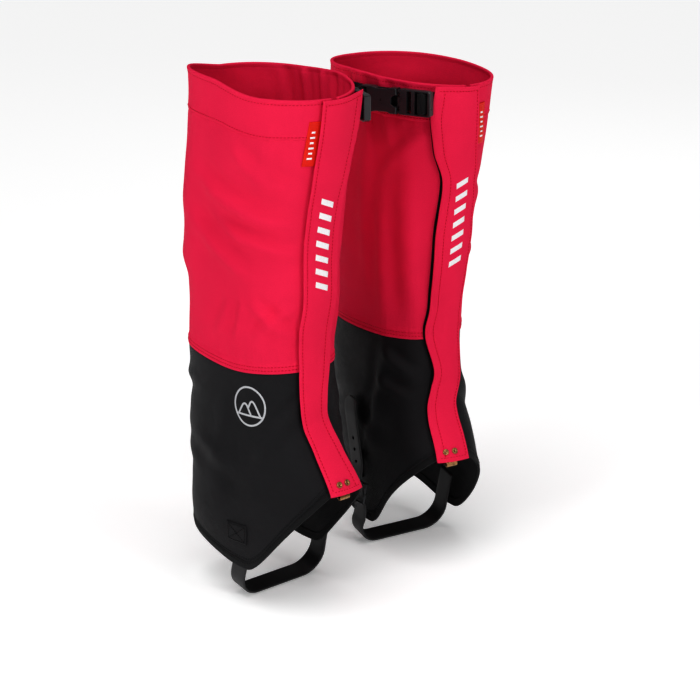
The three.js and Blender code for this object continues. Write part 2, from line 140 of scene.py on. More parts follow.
@dataclass(frozen=True)
class LegForm:
    """Outer face of the cloth: rounded sections stacked up the leg."""

    stations: tuple = (33, 78, 124, 158, 198, 243, 338, 438, 501)
    front: tuple = (98, 95, 79, 60, 45, 44, 56.5, 70, 77)
    back: tuple = (-114, -110, -110, -114, -118, -121, -120, -111, -104)
    outer_half: tuple = (52, 56, 55, 52, 50, 48.5, 54, 62, 65)
    inner_half: tuple = (46, 49, 51, 51, 49, 48, 49.5, 54, 57.5)
    turn: tuple = (0, -4, -3, -1, 1, 0, 0.5, 4, 7)
    squareness: float = 2.4
    middle: float = -18.0
    flap_z: tuple = (124, 158, 198, 243, 338, 438, 501)
    flap_l: tuple = (-4.2, -0.6, 5.5, 2, 5.2, 0.6, -4.3)
    hem_front: float = 127.0
    hem_side: float = 36.6
    hem_back: float = 59.0
    hem_angle: float = 77.0
    rim: float = 501.0
    seam: float = 240.0

    def _at(self, values: Sequence[float], z: Array) -> Array:
        """A table's value at each height."""
        return eased(np.array(self.stations, float), np.array(values, float), z)

    def points(self, angle: Array, z: Array) -> Array:
        """Superellipse section of each height, turned a little about its middle.

        Args:
            angle: direction round the leg, 0 forwards and rising outwards.
            z: height.

        Returns:
            Points L, F, z along the last axis.
        """
        angle, z = np.broadcast_arrays(np.asarray(angle, float), np.asarray(z, float))
        c, s = np.cos(angle), np.sin(angle)
        deep = np.where(c >= 0, self._at(self.front, z) - self.middle, self.middle - self._at(self.back, z))
        wide = np.where(s >= 0, self._at(self.outer_half, z), self._at(self.inner_half, z))
        n = self.squareness
        r = (np.abs(c / deep) ** n + np.abs(s / wide) ** n) ** (-1 / n)
        turn = np.radians(self._at(self.turn, z))
        lateral, forward = r * s, r * c
        return np.stack(
            [
                lateral * np.cos(turn) + forward * np.sin(turn),
                self.middle + forward * np.cos(turn) - lateral * np.sin(turn),
                z,
            ],
            -1,
        )

    def normals(self, angle: Array, z: Array) -> Array:
        """Outward unit normals, from central differences of the points.

        Args:
            angle: directions round the leg, 0 forwards and rising outwards.
            z: heights.

        Returns:
            Vectors L, F, z along the last axis.
        """
        e, h = 1e-3, 0.5
        z = np.asarray(z, float)
        across = self.points(angle + e, z) - self.points(angle - e, z)
        up = self.points(angle, np.minimum(z + h, self.rim)) - self.points(angle, np.minimum(z, self.rim) - h)
        return unit(np.cross(up, across))

    def centre(self, z: Array) -> Array:
        """L of the front flap's middle."""
        return eased(np.array(self.flap_z, float), np.array(self.flap_l, float), z)

    def angle_at(self, lateral: Array, z: Array) -> Array:
        """Angle at the front whose point lies at the given L, by bisection.

        Args:
            lateral: the L wanted.
            z: heights.

        Returns:
            Angles, 0 forwards.
        """
        lateral, z = np.broadcast_arrays(np.asarray(lateral, float), np.asarray(z, float))
        low, high = np.full(z.shape, -1.3), np.full(z.shape, 1.3)
        for _ in range(34):
            mid = (low + high) / 2
            less = self.points(mid, z)[..., 0] < lateral
            low, high = np.where(less, mid, low), np.where(less, high, mid)
        return (low + high) / 2

    def hem(self, angle: Array) -> Array:
        """Height of the lower hem: high in front, lowest at the sides, a little up at the back.

        Args:
            angle: directions round the leg, 0 forwards and rising outwards.

        Returns:
            Height of the hem at each angle.
        """
        t = np.abs(np.arctan2(np.sin(angle), np.cos(angle)))
        t0 = math.radians(self.hem_angle)
        fore = self.hem_side + (self.hem_front - self.hem_side) * np.cos(np.clip(t / t0, 0, 1) * np.pi / 2) ** 2
        aft = np.sin(np.clip((t - t0) / (np.pi - t0), 0, 1) * np.pi / 2) ** 3
        return np.where(t < t0, fore, self.hem_side + (self.hem_back - self.hem_side) * aft)


@dataclass(frozen=True)
class Crease:
    """One soft fold: a ridge between two places, given as degrees round the leg and height."""

    start: tuple
    end: tuple
    width: float
    depth: float

    def height(self, degrees: Array, z: Array) -> Array:
        """Ridge with a shallow trough below it, fading out at its ends.

        The coordinates across and along the fold are distances in millimetres.

        Args:
            degrees: directions round the leg.
            z: heights.

        Returns:
            How far the fold lifts the cloth.
        """
        p = np.array([self.start[0] * DEGREE, self.start[1]])
        q = np.array([self.end[0] * DEGREE, self.end[1]])
        d = q - p
        length = np.linalg.norm(d)
        d = d / length
        middle = (self.start[0] + self.end[0]) / 2
        degrees = middle + (degrees - middle + 180) % 360 - 180
        x, y = degrees * DEGREE - p[0], z - p[1]
        along = (x * d[0] + y * d[1]) / length
        across = -x * d[1] + y * d[0] + 6 * (along - 0.5) ** 2
        fade = ramp(along, -0.15, 0.3) * (1 - ramp(along, 0.65, 1.15))
        s = across / self.width
        return FOLD_GAIN * self.depth * fade * (np.exp(-s * s) - 0.6 * np.exp(-((s + 1.5) ** 2)))


@dataclass(frozen=True)
class Drape:
    """How far the cloth stands off its smooth form: folds, stitched puckers and a slow unevenness."""

    form: LegForm
    seed: int
    creases: tuple
    slow: float = 1.6
    waves: tuple = (170.0, 110.0, 75.0, 48.0, 33.0)
    seams: tuple = (463.0, 245.0)

    def height(self, angle: Array, z: Array) -> Array:
        """Sum of folds, plane waves with seeded directions, puckers at the stitched lines and flutes at the rim.

        Args:
            angle: directions round the leg, 0 forwards and rising outwards.
            z: heights.

        Returns:
            Distance off the smooth form.
        """
        deg = np.degrees(np.arctan2(np.sin(angle), np.cos(angle)))
        x = deg * DEGREE
        total = np.zeros(np.broadcast(angle, z).shape)
        for crease in self.creases:
            total = total + crease.height(deg, z)
        rng = np.random.default_rng(self.seed)
        away = ramp(np.abs(x), 18, 45)
        for wave in self.waves:
            for _ in range(3):
                way, phase = rng.uniform(0.2, 1.25), rng.uniform(0, 2 * np.pi)
                k = 2 * np.pi / wave
                wide = self.slow * (wave / self.waves[0]) ** 1.15
                closed = np.round(k * math.cos(way) * HALF_ROUND / (2 * np.pi)) * 2 * np.pi / (2 * HALF_ROUND)
                total = total + wide * 0.42 * away * np.sin(closed * x + k * math.sin(way) * z + phase)
        total = total + self._puckers(deg, z) + self._flutes(deg, z) * away
        return total * (1 - 0.85 * bell(z, self.form.rim, 4))

    def _puckers(self, deg: Array, z: Array) -> Array:
        """Groove and short gathers along the two stitched lines of the calf.

        Args:
            deg: directions round the leg, in degrees.
            z: heights.

        Returns:
            Height of the groove and gathers.
        """
        out = np.zeros(np.broadcast(deg, z).shape)
        gather = 0.5 + 0.5 * np.sin(deg * 0.61 + 2 * np.sin(deg * 0.13))
        for level in self.seams:
            out = out - 0.3 * bell(z, level, 1.7)
            out = out + 0.32 * gather * np.sin(deg * 0.83 + np.sin(deg * 0.21) * 3) * bell(z, level + 2, 8)
        return out

    def _flutes(self, deg: Array, z: Array) -> Array:
        """Upright ripples under the rim on the inner and back sides.

        Args:
            deg: directions round the leg, in degrees.
            z: heights.

        Returns:
            Height of the ripples.
        """
        side = ramp(-np.abs(deg + 85), -85, -30)
        lean = deg * 0.2 + (z - 440) * 0.035
        return 1.5 * side * ramp(z, 405, 485) * (np.sin(lean) + 0.5 * np.sin(lean * 2.3 + 1))


@dataclass(frozen=True)
class Stance:
    """Where a gaiter stands: which leg, its middle, turn and how much higher its hem sits."""

    side: Side
    centre: tuple
    yaw: float = 0.0

    def place(self, points: Array) -> Array:
        """Metres in the part's frame: x is the outer side times the sign, y is backwards, then turned and moved.

        Args:
            points: L, F, z in millimetres along the last axis.

        Returns:
            x, y, z in metres.
        """
        p = np.asarray(points, float)
        x, y = p[..., 0] * self.side.value, -p[..., 1]
        c, s = math.cos(math.radians(self.yaw)), math.sin(math.radians(self.yaw))
        moved = np.stack([x * c - y * s, x * s + y * c, p[..., 2]], -1) + np.array(self.centre)
        return moved / 1000.0


# ---------------------------------------------------------------- meshes


@dataclass
class Solid:
    """Closed mesh under construction: points, faces and a flat pattern position for each point."""

    points: Array
    faces: Array
    flat: Array

    @staticmethod
    def joined(parts: Sequence["Solid"]) -> "Solid":
        """Several solids as one mesh, their face numbers shifted.

        Args:
            parts: the solids.

        Returns:
            One solid of them all.
        """
        shift = np.cumsum([0] + [len(p.points) for p in parts[:-1]])
        return Solid(
            np.concatenate([p.points for p in parts]),
            np.concatenate([p.faces + k for p, k in zip(parts, shift)]),
            np.concatenate([p.flat for p in parts]),
        )


def grid_faces(nu: int, nv: int, wrap: bool = False) -> Array:
    """Quads of a grid of nu by nv points, numbered row by row; wrap closes the second direction.

    Args:
        nu: rows of the grid.
        nv: points in a row.
        wrap: whether the last point of a row joins its first.

    Returns:
        Point numbers, four to a face.
    """
    i, j = np.meshgrid(np.arange(nu - 1), np.arange(nv if wrap else nv - 1), indexing="ij")
    k = (j + 1) % nv
    return np.stack([i * nv + j, i * nv + k, (i + 1) * nv + k, (i + 1) * nv + j], -1).reshape(-1, 4)


def slab(outer: Array, inner: Array, flat: Array) -> Solid:
    """Closed sheet between two grids of points of the same shape, its border closed with quads.

    Args:
        outer: grid of points of one side.
        inner: grid of the other side.
        flat: pattern position of each point.

    Returns:
        The closed sheet.
    """
    nu, nv = outer.shape[:2]
    n = nu * nv
    face = grid_faces(nu, nv)
    number = np.arange(n).reshape(nu, nv)
    sides = [np.stack([e[:-1], e[1:], e[1:] + n, e[:-1] + n], -1) for e in (*number.T[[0, -1]], *number[[0, -1]])]
    for k in (1, 2):  # these two borders run the other way round the sheet
        sides[k] = sides[k][:, [0, 3, 2, 1]]
    faces = np.concatenate([face, face[:, ::-1] + n, *sides])
    points = np.concatenate([outer.reshape(-1, 3), inner.reshape(-1, 3)])
    return Solid(points, faces, np.concatenate([flat.reshape(-1, 2)] * 2))


def sweep_faces(n: int, m: int) -> Array:
    """Faces of n rings of m points, closed by fans to the two points numbered after the rings.

    Args:
        n: number of rings.
        m: points in a ring.

    Returns:
        Point numbers, four to a face, the fans' last one repeated.
    """
    k = np.arange(m)
    after, end = (k + 1) % m, (n - 1) * m
    first = np.stack([np.full(m, n * m), after, k, k], -1)
    last = np.stack([np.full(m, n * m + 1), end + k, end + after, end + after], -1)
    return np.concatenate([grid_faces(n, m, True), first, last])


def travelled(path: Array) -> Array:
    """Distance along a path at each of its points."""
    return np.concatenate([[0], np.cumsum(np.linalg.norm(np.diff(path, axis=0), axis=1))])


def sampled(path: Array, run: Array, at: Array) -> Array:
    """Values of a path's columns at the given distances along it."""
    return np.stack([np.interp(at, run, column) for column in path.T], -1)


def tube(centres: Array, across: Array, out: Array, profile: Array) -> Solid:
    """Sweep of a closed profile along a path, capped flat at both ends.

    Args:
        centres: path points, n by 3.
        across: unit direction of the profile's first coordinate at each point.
        out: unit direction of its second.
        profile: m by 2 offsets, or n by m by 2 where the profile changes.

    Returns:
        The closed solid; its pattern runs along and round the sweep.
    """
    n = len(centres)
    prof = np.broadcast_to(profile, (n,) + np.shape(profile)[-2:])
    ring = centres[:, None] + prof[..., :1] * across[:, None] + prof[..., 1:] * out[:, None]
    m = ring.shape[1]
    run = travelled(centres)
    flat = np.stack([np.broadcast_to(run[:, None], (n, m)), prof[..., 0]], -1).reshape(-1, 2)
    points = np.concatenate([ring.reshape(-1, 3), centres[[0, -1]]])
    return Solid(points, sweep_faces(n, m), np.concatenate([flat, flat[[0, -1]]]))


def rounded(width: float, thick: float, corner: int = 4) -> Array:
    """Outline of a flat band with half-round edges, width by thick, as points round its middle.

    Args:
        width: whole width.
        thick: whole thickness.
        corner: steps in each quarter circle.

    Returns:
        Offsets across and out, one pair a point.
    """
    r = thick / 2
    a = np.linspace(-np.pi / 2, np.pi / 2, 2 * corner + 1)
    right = np.stack([width / 2 - r + r * np.cos(a), r * np.sin(a)], -1)
    top = np.stack([np.linspace(width / 2 - r, r - width / 2, 6)[1:-1], np.full(4, r)], -1)
    return np.concatenate([right, top, -right, -top])


def directions(path: Array) -> Array:
    """Unit tangents of a path, by central differences."""
    return unit(np.gradient(path, axis=0))


def resampled(path: Array, pitch: float) -> Array:
    """Points of a path spaced evenly, pitch apart."""
    run = travelled(path)
    return sampled(path, run, np.linspace(0, run[-1], max(2, int(run[-1] / pitch) + 1)))


def smoothed(path: Sequence[Sequence[float]], pitch: float = 1.5, rounds: int = 3) -> Array:
    """Corner-cut polyline: each round replaces a corner by points a quarter in from both ends of its sides.

    Args:
        path: its corners.
        pitch: distance between the points returned.
        rounds: how often corners are cut.

    Returns:
        Evenly spaced points.
    """
    p = np.array(path, float)
    for _ in range(rounds):
        a, b = 0.75 * p[:-1] + 0.25 * p[1:], 0.25 * p[:-1] + 0.75 * p[1:]
        p = np.concatenate([p[:1], np.stack([a, b], 1).reshape(-1, p.shape[1]), p[-1:]])
    return resampled(p, pitch)


def stitches(path: Array, out: Array, length: float = 2.4, gap: float = 0.9, radius: float = 0.32) -> Solid:
    """Row of thread capsules lying on a path, each a short six-sided spindle.

    Args:
        path: points of the seam.
        out: outward unit normal at each point.
        length: thread showing in one stitch.
        gap: space between stitches.
        radius: half thickness of the thread.

    Returns:
        All stitches as one solid.
    """
    run = travelled(path)
    at = np.arange(gap, run[-1] - length, length + gap)
    ends = [sampled(path, run, at + d) for d in (0, length)]
    n = unit(sampled(out, run, at))
    t = ends[1] - ends[0]
    size = np.linalg.norm(t, axis=1, keepdims=True)
    t = t / size
    b = np.cross(n, t)
    along = np.array([-0.5, -0.4, 0.0, 0.4, 0.5])
    fat = np.array([0.25, 0.85, 1.0, 0.85, 0.25])
    lift = np.array([-0.6, 0.1, 0.55, 0.1, -0.6])
    a = np.arange(6) * np.pi / 3
    mid = (ends[0] + ends[1]) / 2
    ring = mid[:, None] + t[:, None] * (along[:, None] * size[:, None]) + n[:, None] * lift[:, None] * radius
    ring = ring[:, :, None]
    for way, reach in ((b, np.cos(a)), (n, np.sin(a))):
        ring = ring + way[:, None, None] * (reach[:, None] * radius) * fat[:, None, None]
    points = ring.reshape(-1, 3)
    caps = np.array([[0, 1, 2, 3], [3, 4, 5, 0], [27, 26, 25, 24], [24, 29, 28, 27]])
    one = np.concatenate([grid_faces(5, 6, True), caps])
    faces = (one[None] + 30 * np.arange(len(at))[:, None, None]).reshape(-1, 4)
    return Solid(points, faces, points[:, :2].copy())


def signed_volume(points: Array, faces: Array) -> float:
    """Six times the enclosed volume, positive where the faces point outwards.

    Args:
        points: points of a mesh.
        faces: its faces, four numbers each.

    Returns:
        Sum of the triple products of the faces' corners.
    """
    total = 0.0
    for a, b, c in ((0, 1, 2), (0, 2, 3)):
        p = [points[faces[:, k]] for k in (a, b, c)]
        total += float(np.einsum("ij,ij->i", p[0], np.cross(p[1], p[2])).sum())
    return total


def linked(name: str, data: bpy.types.ID) -> bpy.types.Object:
    """A new object in the scene for a mesh, lamp or camera.

    Args:
        name: object name.
        data: the mesh, lamp or camera.

    Returns:
        The object, at the origin.
    """
    obj = bpy.data.objects.new(name, data)
    bpy.context.scene.collection.objects.link(obj)
    return obj


def make_object(name: str, solid: Solid, stance: Stance) -> bpy.types.Object:
    """A smooth mesh object from a solid, faces turned outwards, its pattern position in metres as its UV map.

    Args:
        name: object name.
        solid: points in millimetres of the gaiter.
        stance: the gaiter's place.

    Returns:
        The new object, at the origin.
    """
    points, faces = stance.place(solid.points), solid.faces
    if signed_volume(points - points.mean(0), faces) < 0:
        faces = faces[:, ::-1]
    same = (faces[:, 2] == faces[:, 3]) | (faces[:, 0] == faces[:, 1])
    quads, thin = faces[~same], faces[same]
    tri = np.where((thin[:, 0] == thin[:, 1])[:, None], thin[:, 1:], thin[:, :3])
    mesh = bpy.data.meshes.new(name)
    mesh.vertices.add(len(points))
    mesh.vertices.foreach_set("co", points.astype(np.float32).ravel())
    loops = np.concatenate([quads.ravel(), tri.ravel()]).astype(np.int32)
    starts = np.concatenate([np.arange(len(quads)) * 4, len(quads) * 4 + np.arange(len(tri)) * 3]).astype(np.int32)
    mesh.loops.add(len(loops))
    mesh.loops.foreach_set("vertex_index", loops)
    mesh.polygons.add(len(starts))
    mesh.polygons.foreach_set("loop_start", starts)
    mesh.update(calc_edges=True)
    layer = mesh.uv_layers.new(name="pattern")
    layer.data.foreach_set("uv", (solid.flat[loops] / 1000.0).astype(np.float32).ravel())
    mesh.polygons.foreach_set("use_smooth", np.full(len(starts), True))
    mesh.validate()
    return linked(name, mesh)


def refined(node: str, name: str, edge: float, segments: int = 2, angle: float = 32.0) -> bpy.types.Object:
    """Copy of a hard CAD node with its triangles merged, flat areas joined and its edges rounded.

    Args:
        node: the CAD node.
        name: name of the new piece.
        edge: width of the rounding in millimetres.
        segments: steps of the rounding.
        angle: edges sharper than this many degrees are rounded.

    Returns:
        The new piece, standing for the node.
    """
    mesh = bpy.data.objects[node].data.copy()
    mesh.name = name
    work = bmesh.new()
    work.from_mesh(mesh)
    bmesh.ops.remove_doubles(work, verts=work.verts, dist=2e-5)
    bmesh.ops.dissolve_limit(work, angle_limit=math.radians(2), verts=work.verts, edges=work.edges)
    work.to_mesh(mesh)
    work.free()
    mesh.materials.clear()
    obj = linked(name, mesh)
    bevel = obj.modifiers.new("edges", "BEVEL")
    bevel.width = edge / 1000
    bevel.segments = segments
    bevel.limit_method = "ANGLE"
    bevel.angle_limit = math.radians(angle)
    bevel.use_clamp_overlap = True
    mesh.polygons.foreach_set("use_smooth", np.full(len(mesh.polygons), True))
    obj.modifiers.new("facets", "WEIGHTED_NORMAL").keep_sharp = True
    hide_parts(node)
    return obj


# ---------------------------------------------------------------- finishes


class Wire:
    """A number leaving a shader node; arithmetic on it adds Math nodes."""

    def __init__(self, shop: "Shop", socket: bpy.types.NodeSocket) -> None:
        """Keeps the node tree it belongs to and its socket."""
        self.shop = shop
        self.socket = socket

    def _math(self, operation: str, *values: "Wire | float") -> "Wire":
        """One Math node on the given values."""
        node = self.shop.node("ShaderNodeMath", {"operation": operation}, dict(enumerate(values)))
        return Wire(self.shop, node.outputs[0])

    def __add__(self, other: "Wire | float") -> "Wire":
        """Sum."""
        return self._math("ADD", self, other)

    __radd__ = __add__

    def __sub__(self, other: "Wire | float") -> "Wire":
        """Difference."""
        return self._math("SUBTRACT", self, other)

    def __rsub__(self, other: "Wire | float") -> "Wire":
        """Difference from a plain number."""
        return self._math("SUBTRACT", other, self)

    def __mul__(self, other: "Wire | float") -> "Wire":
        """Product."""
        return self._math("MULTIPLY", self, other)

    __rmul__ = __mul__

    def sine(self) -> "Wire":
        """Sine of the value."""
        return self._math("SINE", self)

    def size(self) -> "Wire":
        """Absolute value."""
        return self._math("ABSOLUTE", self)

    def between(self, low: float, high: float) -> "Wire":
        """0 below low, 1 above high and smooth between.

        Args:
            low: value that gives 0.
            high: value that gives 1.

        Returns:
            The eased value.
        """
        node = self.shop.node(
            "ShaderNodeMapRange",
            {"interpolation_type": "SMOOTHSTEP"},
            {"Value": self, "From Min": low, "From Max": high},
        )
        return Wire(self.shop, node.outputs[0])


class Shop:
    """Builds the nodes of one material round its Principled shader."""

    def __init__(self, name: str, **constants: float | tuple) -> None:
        """Starts a material and sets the shader's plain numbers.

        Args:
            name: material name.
            constants: shader socket values, with underscores for spaces.
        """
        self.material = bpy.data.materials.new(name)
        self.material.use_nodes = True
        self.tree = self.material.node_tree
        self.shader = self.tree.nodes["Principled BSDF"]
        for key, value in constants.items():
            self.shader.inputs[key.replace("_", " ")].default_value = value

    def node(self, kind: str, settings: dict, inputs: dict) -> bpy.types.Node:
        """Adds a node.

        Args:
            kind: node type.
            settings: attributes set before the sockets.
            inputs: value, Wire or socket for each input, by name or number.

        Returns:
            The node.
        """
        node = self.tree.nodes.new(kind)
        for key, value in settings.items():
            setattr(node, key, value)
        for key, value in inputs.items():
            target = node.inputs[key]
            source = value.socket if isinstance(value, Wire) else value
            if isinstance(source, bpy.types.NodeSocket):
                self.tree.links.new(source, target)
            else:
                target.default_value = source
        return node

    def pattern(self) -> bpy.types.NodeSocket:
        """The piece's own flat pattern position, in metres."""
        return self.node("ShaderNodeUVMap", {"uv_map": "pattern"}, {}).outputs[0]

    def place(self) -> bpy.types.NodeSocket:
        """Object coordinates, in metres."""
        return self.node("ShaderNodeTexCoord", {}, {}).outputs["Object"]

    def split(self, vector: bpy.types.NodeSocket) -> tuple:
        """The three numbers of a vector."""
        node = self.node("ShaderNodeSeparateXYZ", {}, {0: vector})
        return tuple(Wire(self, s) for s in node.outputs)

    def noise(self, vector: bpy.types.NodeSocket, scale: float, detail: float = 2.0, rough: float = 0.5) -> Wire:
        """Fractal noise, about 0.5 in the mean.

        Args:
            vector: where it is looked up.
            scale: features to a metre.
            detail: octaves.
            rough: weight of each finer octave.

        Returns:
            The noise value.
        """
        node = self.node(
            "ShaderNodeTexNoise", {}, {"Vector": vector, "Scale": scale, "Detail": detail, "Roughness": rough}
        )
        return Wire(self, node.outputs[0])

    def stretched(self, vector: bpy.types.NodeSocket, scale: tuple) -> bpy.types.NodeSocket:
        """A vector scaled along each axis."""
        return self.node("ShaderNodeMapping", {}, {"Vector": vector, "Scale": scale}).outputs[0]

    def mix(self, amount: Wire | float, first: object, second: object) -> bpy.types.NodeSocket:
        """Colour between first and second."""
        node = self.node("ShaderNodeMix", {"data_type": "RGBA"}, {0: amount, 6: first, 7: second})
        return node.outputs[2]

    def relief(self, height: Wire, depth: float, strength: float = 1.0) -> None:
        """Feeds a height, in units of depth metres, to the shader's normal."""
        node = self.node("ShaderNodeBump", {}, {"Strength": strength, "Distance": depth, "Height": height})
        self.link(node.outputs[0], "Normal")

    def link(self, source: Wire | bpy.types.NodeSocket, name: str) -> None:
        """Joins a value or colour to one of the shader's inputs."""
        socket = source.socket if isinstance(source, Wire) else source
        self.tree.links.new(socket, self.shader.inputs[name])


def rgba(colour: Sequence[float], times: float = 1.0) -> tuple:
    """A colour made lighter or darker, with full opacity."""
    return tuple(min(1.0, c * times) for c in colour) + (1.0,)


@dataclass(frozen=True)
class PackCloth:
    """Coated plain-weave nylon: fine warp and weft, slow shade changes, a little sheen on the threads."""

    name: str
    colour: tuple
    pitch: float = 0.00075
    rough: float = 0.66
    sheen: float = 0.22
    shade: float = 0.12
    fleck: float = 0.05
    dust: float = 0.0
    gloss: float = 0.16
    crumple: float = 11.0

    def material(self) -> bpy.types.Material:
        """Plain weave from the product of two sines across the pattern, worn a little paler in cloudy places.

        Returns:
            The material.
        """
        shop = Shop(self.name, Sheen_Weight=self.sheen, Sheen_Roughness=0.45, Specular_IOR_Level=self.gloss)
        shop.shader.inputs["Sheen Tint"].default_value = rgba(self.colour, 1.6)
        flat = shop.pattern()
        u, v, _ = shop.split(flat)
        k = 2 * math.pi / self.pitch
        wander = shop.noise(flat, 60, 2) * 1.4
        warp, weft = (u * k + wander).sine(), (v * k + wander).sine()
        weave = warp * weft
        slow = shop.noise(shop.place(), 17, 3)
        fine = shop.noise(flat, 900, 2, 0.6)
        cloud = (slow * self.shade + fine * self.fleck * 2 + weave * self.fleck).between(
            0.0, self.shade + self.fleck * 2
        )
        tone = shop.mix(cloud, rgba(self.colour, 1 - self.shade), rgba(self.colour, 1 + self.shade))
        worn = shop.noise(flat, 38, 5, 0.65).between(0.56, 0.8) * self.dust
        shop.link(shop.mix(worn, tone, rgba([c * 0.9 + 0.03 for c in self.colour])), "Base Color")
        shop.link(self.rough + 0.16 * (shop.noise(flat, 140, 3) - 0.5) + 0.04 * weave, "Roughness")
        soft = shop.noise(shop.stretched(flat, (0.8, 1.5, 1.0)), 24, 4, 0.55)
        shop.relief(weave * 0.5 + shop.noise(flat, 420, 3) * 0.9 + soft * self.crumple, 0.00016, 0.6)
        return shop.material


@dataclass(frozen=True)
class Tape:
    """Woven tape or webbing: ribs across its length, a fine twill on them and slightly paler worn ridges."""

    name: str
    colour: tuple
    rib: float = 0.0014
    depth: float = 0.0003
    rough: float = 0.72
    along_u: bool = True

    def material(self) -> bpy.types.Material:
        """Ribs are the absolute sine along the tape; the twill is a slanted sine twice as fine.

        Returns:
            The material.
        """
        shop = Shop(self.name, Sheen_Weight=0.04, Sheen_Roughness=0.5, Specular_IOR_Level=0.2)
        flat = shop.pattern()
        u, v, _ = shop.split(flat)
        run, over = (u, v) if self.along_u else (v, u)
        k = math.pi / self.rib
        rib = (run * k).sine().size()
        twill = (run * (2.1 * k) + over * (1.7 * k)).sine()
        fuzz = shop.noise(flat, 1300, 2, 0.7)
        high = (rib * 0.7 + fuzz * 0.4 + twill * 0.1).between(0.5, 1.1)
        shop.link(shop.mix(high, rgba(self.colour, 0.7), rgba([c * 1.25 + 0.003 for c in self.colour])), "Base Color")
        shop.link(self.rough + 0.1 * (fuzz - 0.5), "Roughness")
        shop.relief(rib + twill * 0.25 + fuzz * 0.3, self.depth, 0.8)
        return shop.material


@dataclass(frozen=True)
class Touch:
    """Hook or loop tape: a rough pile of loops or a grid of small hooks on a woven back."""

    name: str
    colour: tuple
    hooks: bool

    def material(self) -> bpy.types.Material:
        """Pile from fine noise; hooks from the product of two squared sines.

        Returns:
            The material.
        """
        shop = Shop(self.name, Sheen_Weight=0.06, Sheen_Roughness=0.6, Specular_IOR_Level=0.12)
        flat = shop.pattern()
        u, v, _ = shop.split(flat)
        pile = shop.noise(flat, 1500, 4, 0.75)
        if self.hooks:
            k = math.pi / 0.0013
            pile = pile * 0.4 + (u * k).sine().size() * (v * k).sine().size()
        shop.link(shop.mix(pile.between(0.3, 0.8), rgba(self.colour, 0.5), rgba(self.colour, 2.0)), "Base Color")
        shop.link(0.8 + 0.2 * (pile - 0.5), "Roughness")
        shop.relief(pile, 0.0006, 0.9)
        return shop.material


@dataclass(frozen=True)
class Moulded:
    """Moulded plastic or rubber: fine grain, cloudy gloss, faint pale scuffs and rubbed edges."""

    name: str
    colour: tuple
    rough: float = 0.42
    grain: float = 900.0
    depth: float = 0.00006
    scuff: float = 0.5

    def material(self) -> bpy.types.Material:
        """Grain and gloss from noise; scuffs are stretched noise cut to its peaks.

        Returns:
            The material.
        """
        shop = Shop(self.name, Specular_IOR_Level=0.45)
        place = shop.place()
        grain = shop.noise(place, self.grain, 3, 0.6)
        cloud = shop.noise(place, 90, 4, 0.6)
        scratch = shop.noise(shop.stretched(place, (300, 1300, 90)), 1, 4, 0.7).between(0.62, 0.78)
        tone = shop.mix(cloud, rgba(self.colour, 0.82), rgba(self.colour, 1.2))
        shop.link(shop.mix(scratch * self.scuff, tone, rgba([c * 1.6 + 0.02 for c in self.colour])), "Base Color")
        shop.link(self.rough + 0.18 * (cloud - 0.5) + 0.12 * scratch, "Roughness")
        shop.relief(grain + 0.3 * scratch, self.depth, 0.6)
        return shop.material


@dataclass(frozen=True)
class Hardware:
    """Small metal fittings: brushed or tumbled metal with tarnish in the low places."""

    name: str
    colour: tuple
    tarnish: tuple
    rough: float = 0.34

    def material(self) -> bpy.types.Material:
        """Tarnish where two noises are high together; fine tumbling marks in the relief.

        Returns:
            The material.
        """
        shop = Shop(self.name, Specular_IOR_Level=0.5)
        place = shop.place()
        spots = shop.noise(place, 420, 4, 0.65).between(0.45, 0.7)
        marks = shop.noise(place, 2600, 3, 0.7)
        shop.link(shop.mix(spots, rgba(self.colour), rgba(self.tarnish)), "Base Color")
        shop.link(0.95 - 0.25 * spots, "Metallic")
        shop.link(self.rough + 0.25 * spots + 0.1 * (marks - 0.5), "Roughness")
        shop.relief(marks, 0.00004, 0.5)
        return shop.material


@dataclass(frozen=True)
class Thread:
    """Twisted polyester sewing thread."""

    name: str
    colour: tuple

    def material(self) -> bpy.types.Material:
        """Shade varies from stitch to stitch and along the twist.

        Returns:
            The material.
        """
        shop = Shop(self.name, Specular_IOR_Level=0.12)
        place = shop.place()
        stitch = shop.noise(place, 700, 2)
        twist = shop.noise(place, 5200, 2)
        shop.link(shop.mix(stitch, rgba(self.colour, 0.7), rgba(self.colour, 1.3)), "Base Color")
        shop.link(0.45 + 0.25 * (twist - 0.5), "Roughness")
        shop.relief(twist, 0.0001, 0.6)
        return shop.material


@dataclass(frozen=True)
class Ink:
    """Printed mark on cloth: a matt film with the weave showing and tiny missed specks."""

    name: str
    colour: tuple
    under: tuple

    def material(self) -> bpy.types.Material:
        """Specks where fine noise is low show the cloth's colour.

        Returns:
            The material.
        """
        shop = Shop(self.name, Specular_IOR_Level=0.35)
        place = shop.place()
        speck = shop.noise(place, 1700, 3, 0.7)
        shop.link(shop.mix(speck.between(0.28, 0.4), rgba(self.under), rgba(self.colour)), "Base Color")
        shop.link(0.5 + 0.2 * (speck - 0.5), "Roughness")
        shop.relief(speck, 0.00008, 0.6)
        return shop.material


RED = (0.78, 0.032, 0.098)
BLACK = (0.021, 0.0205, 0.0222)


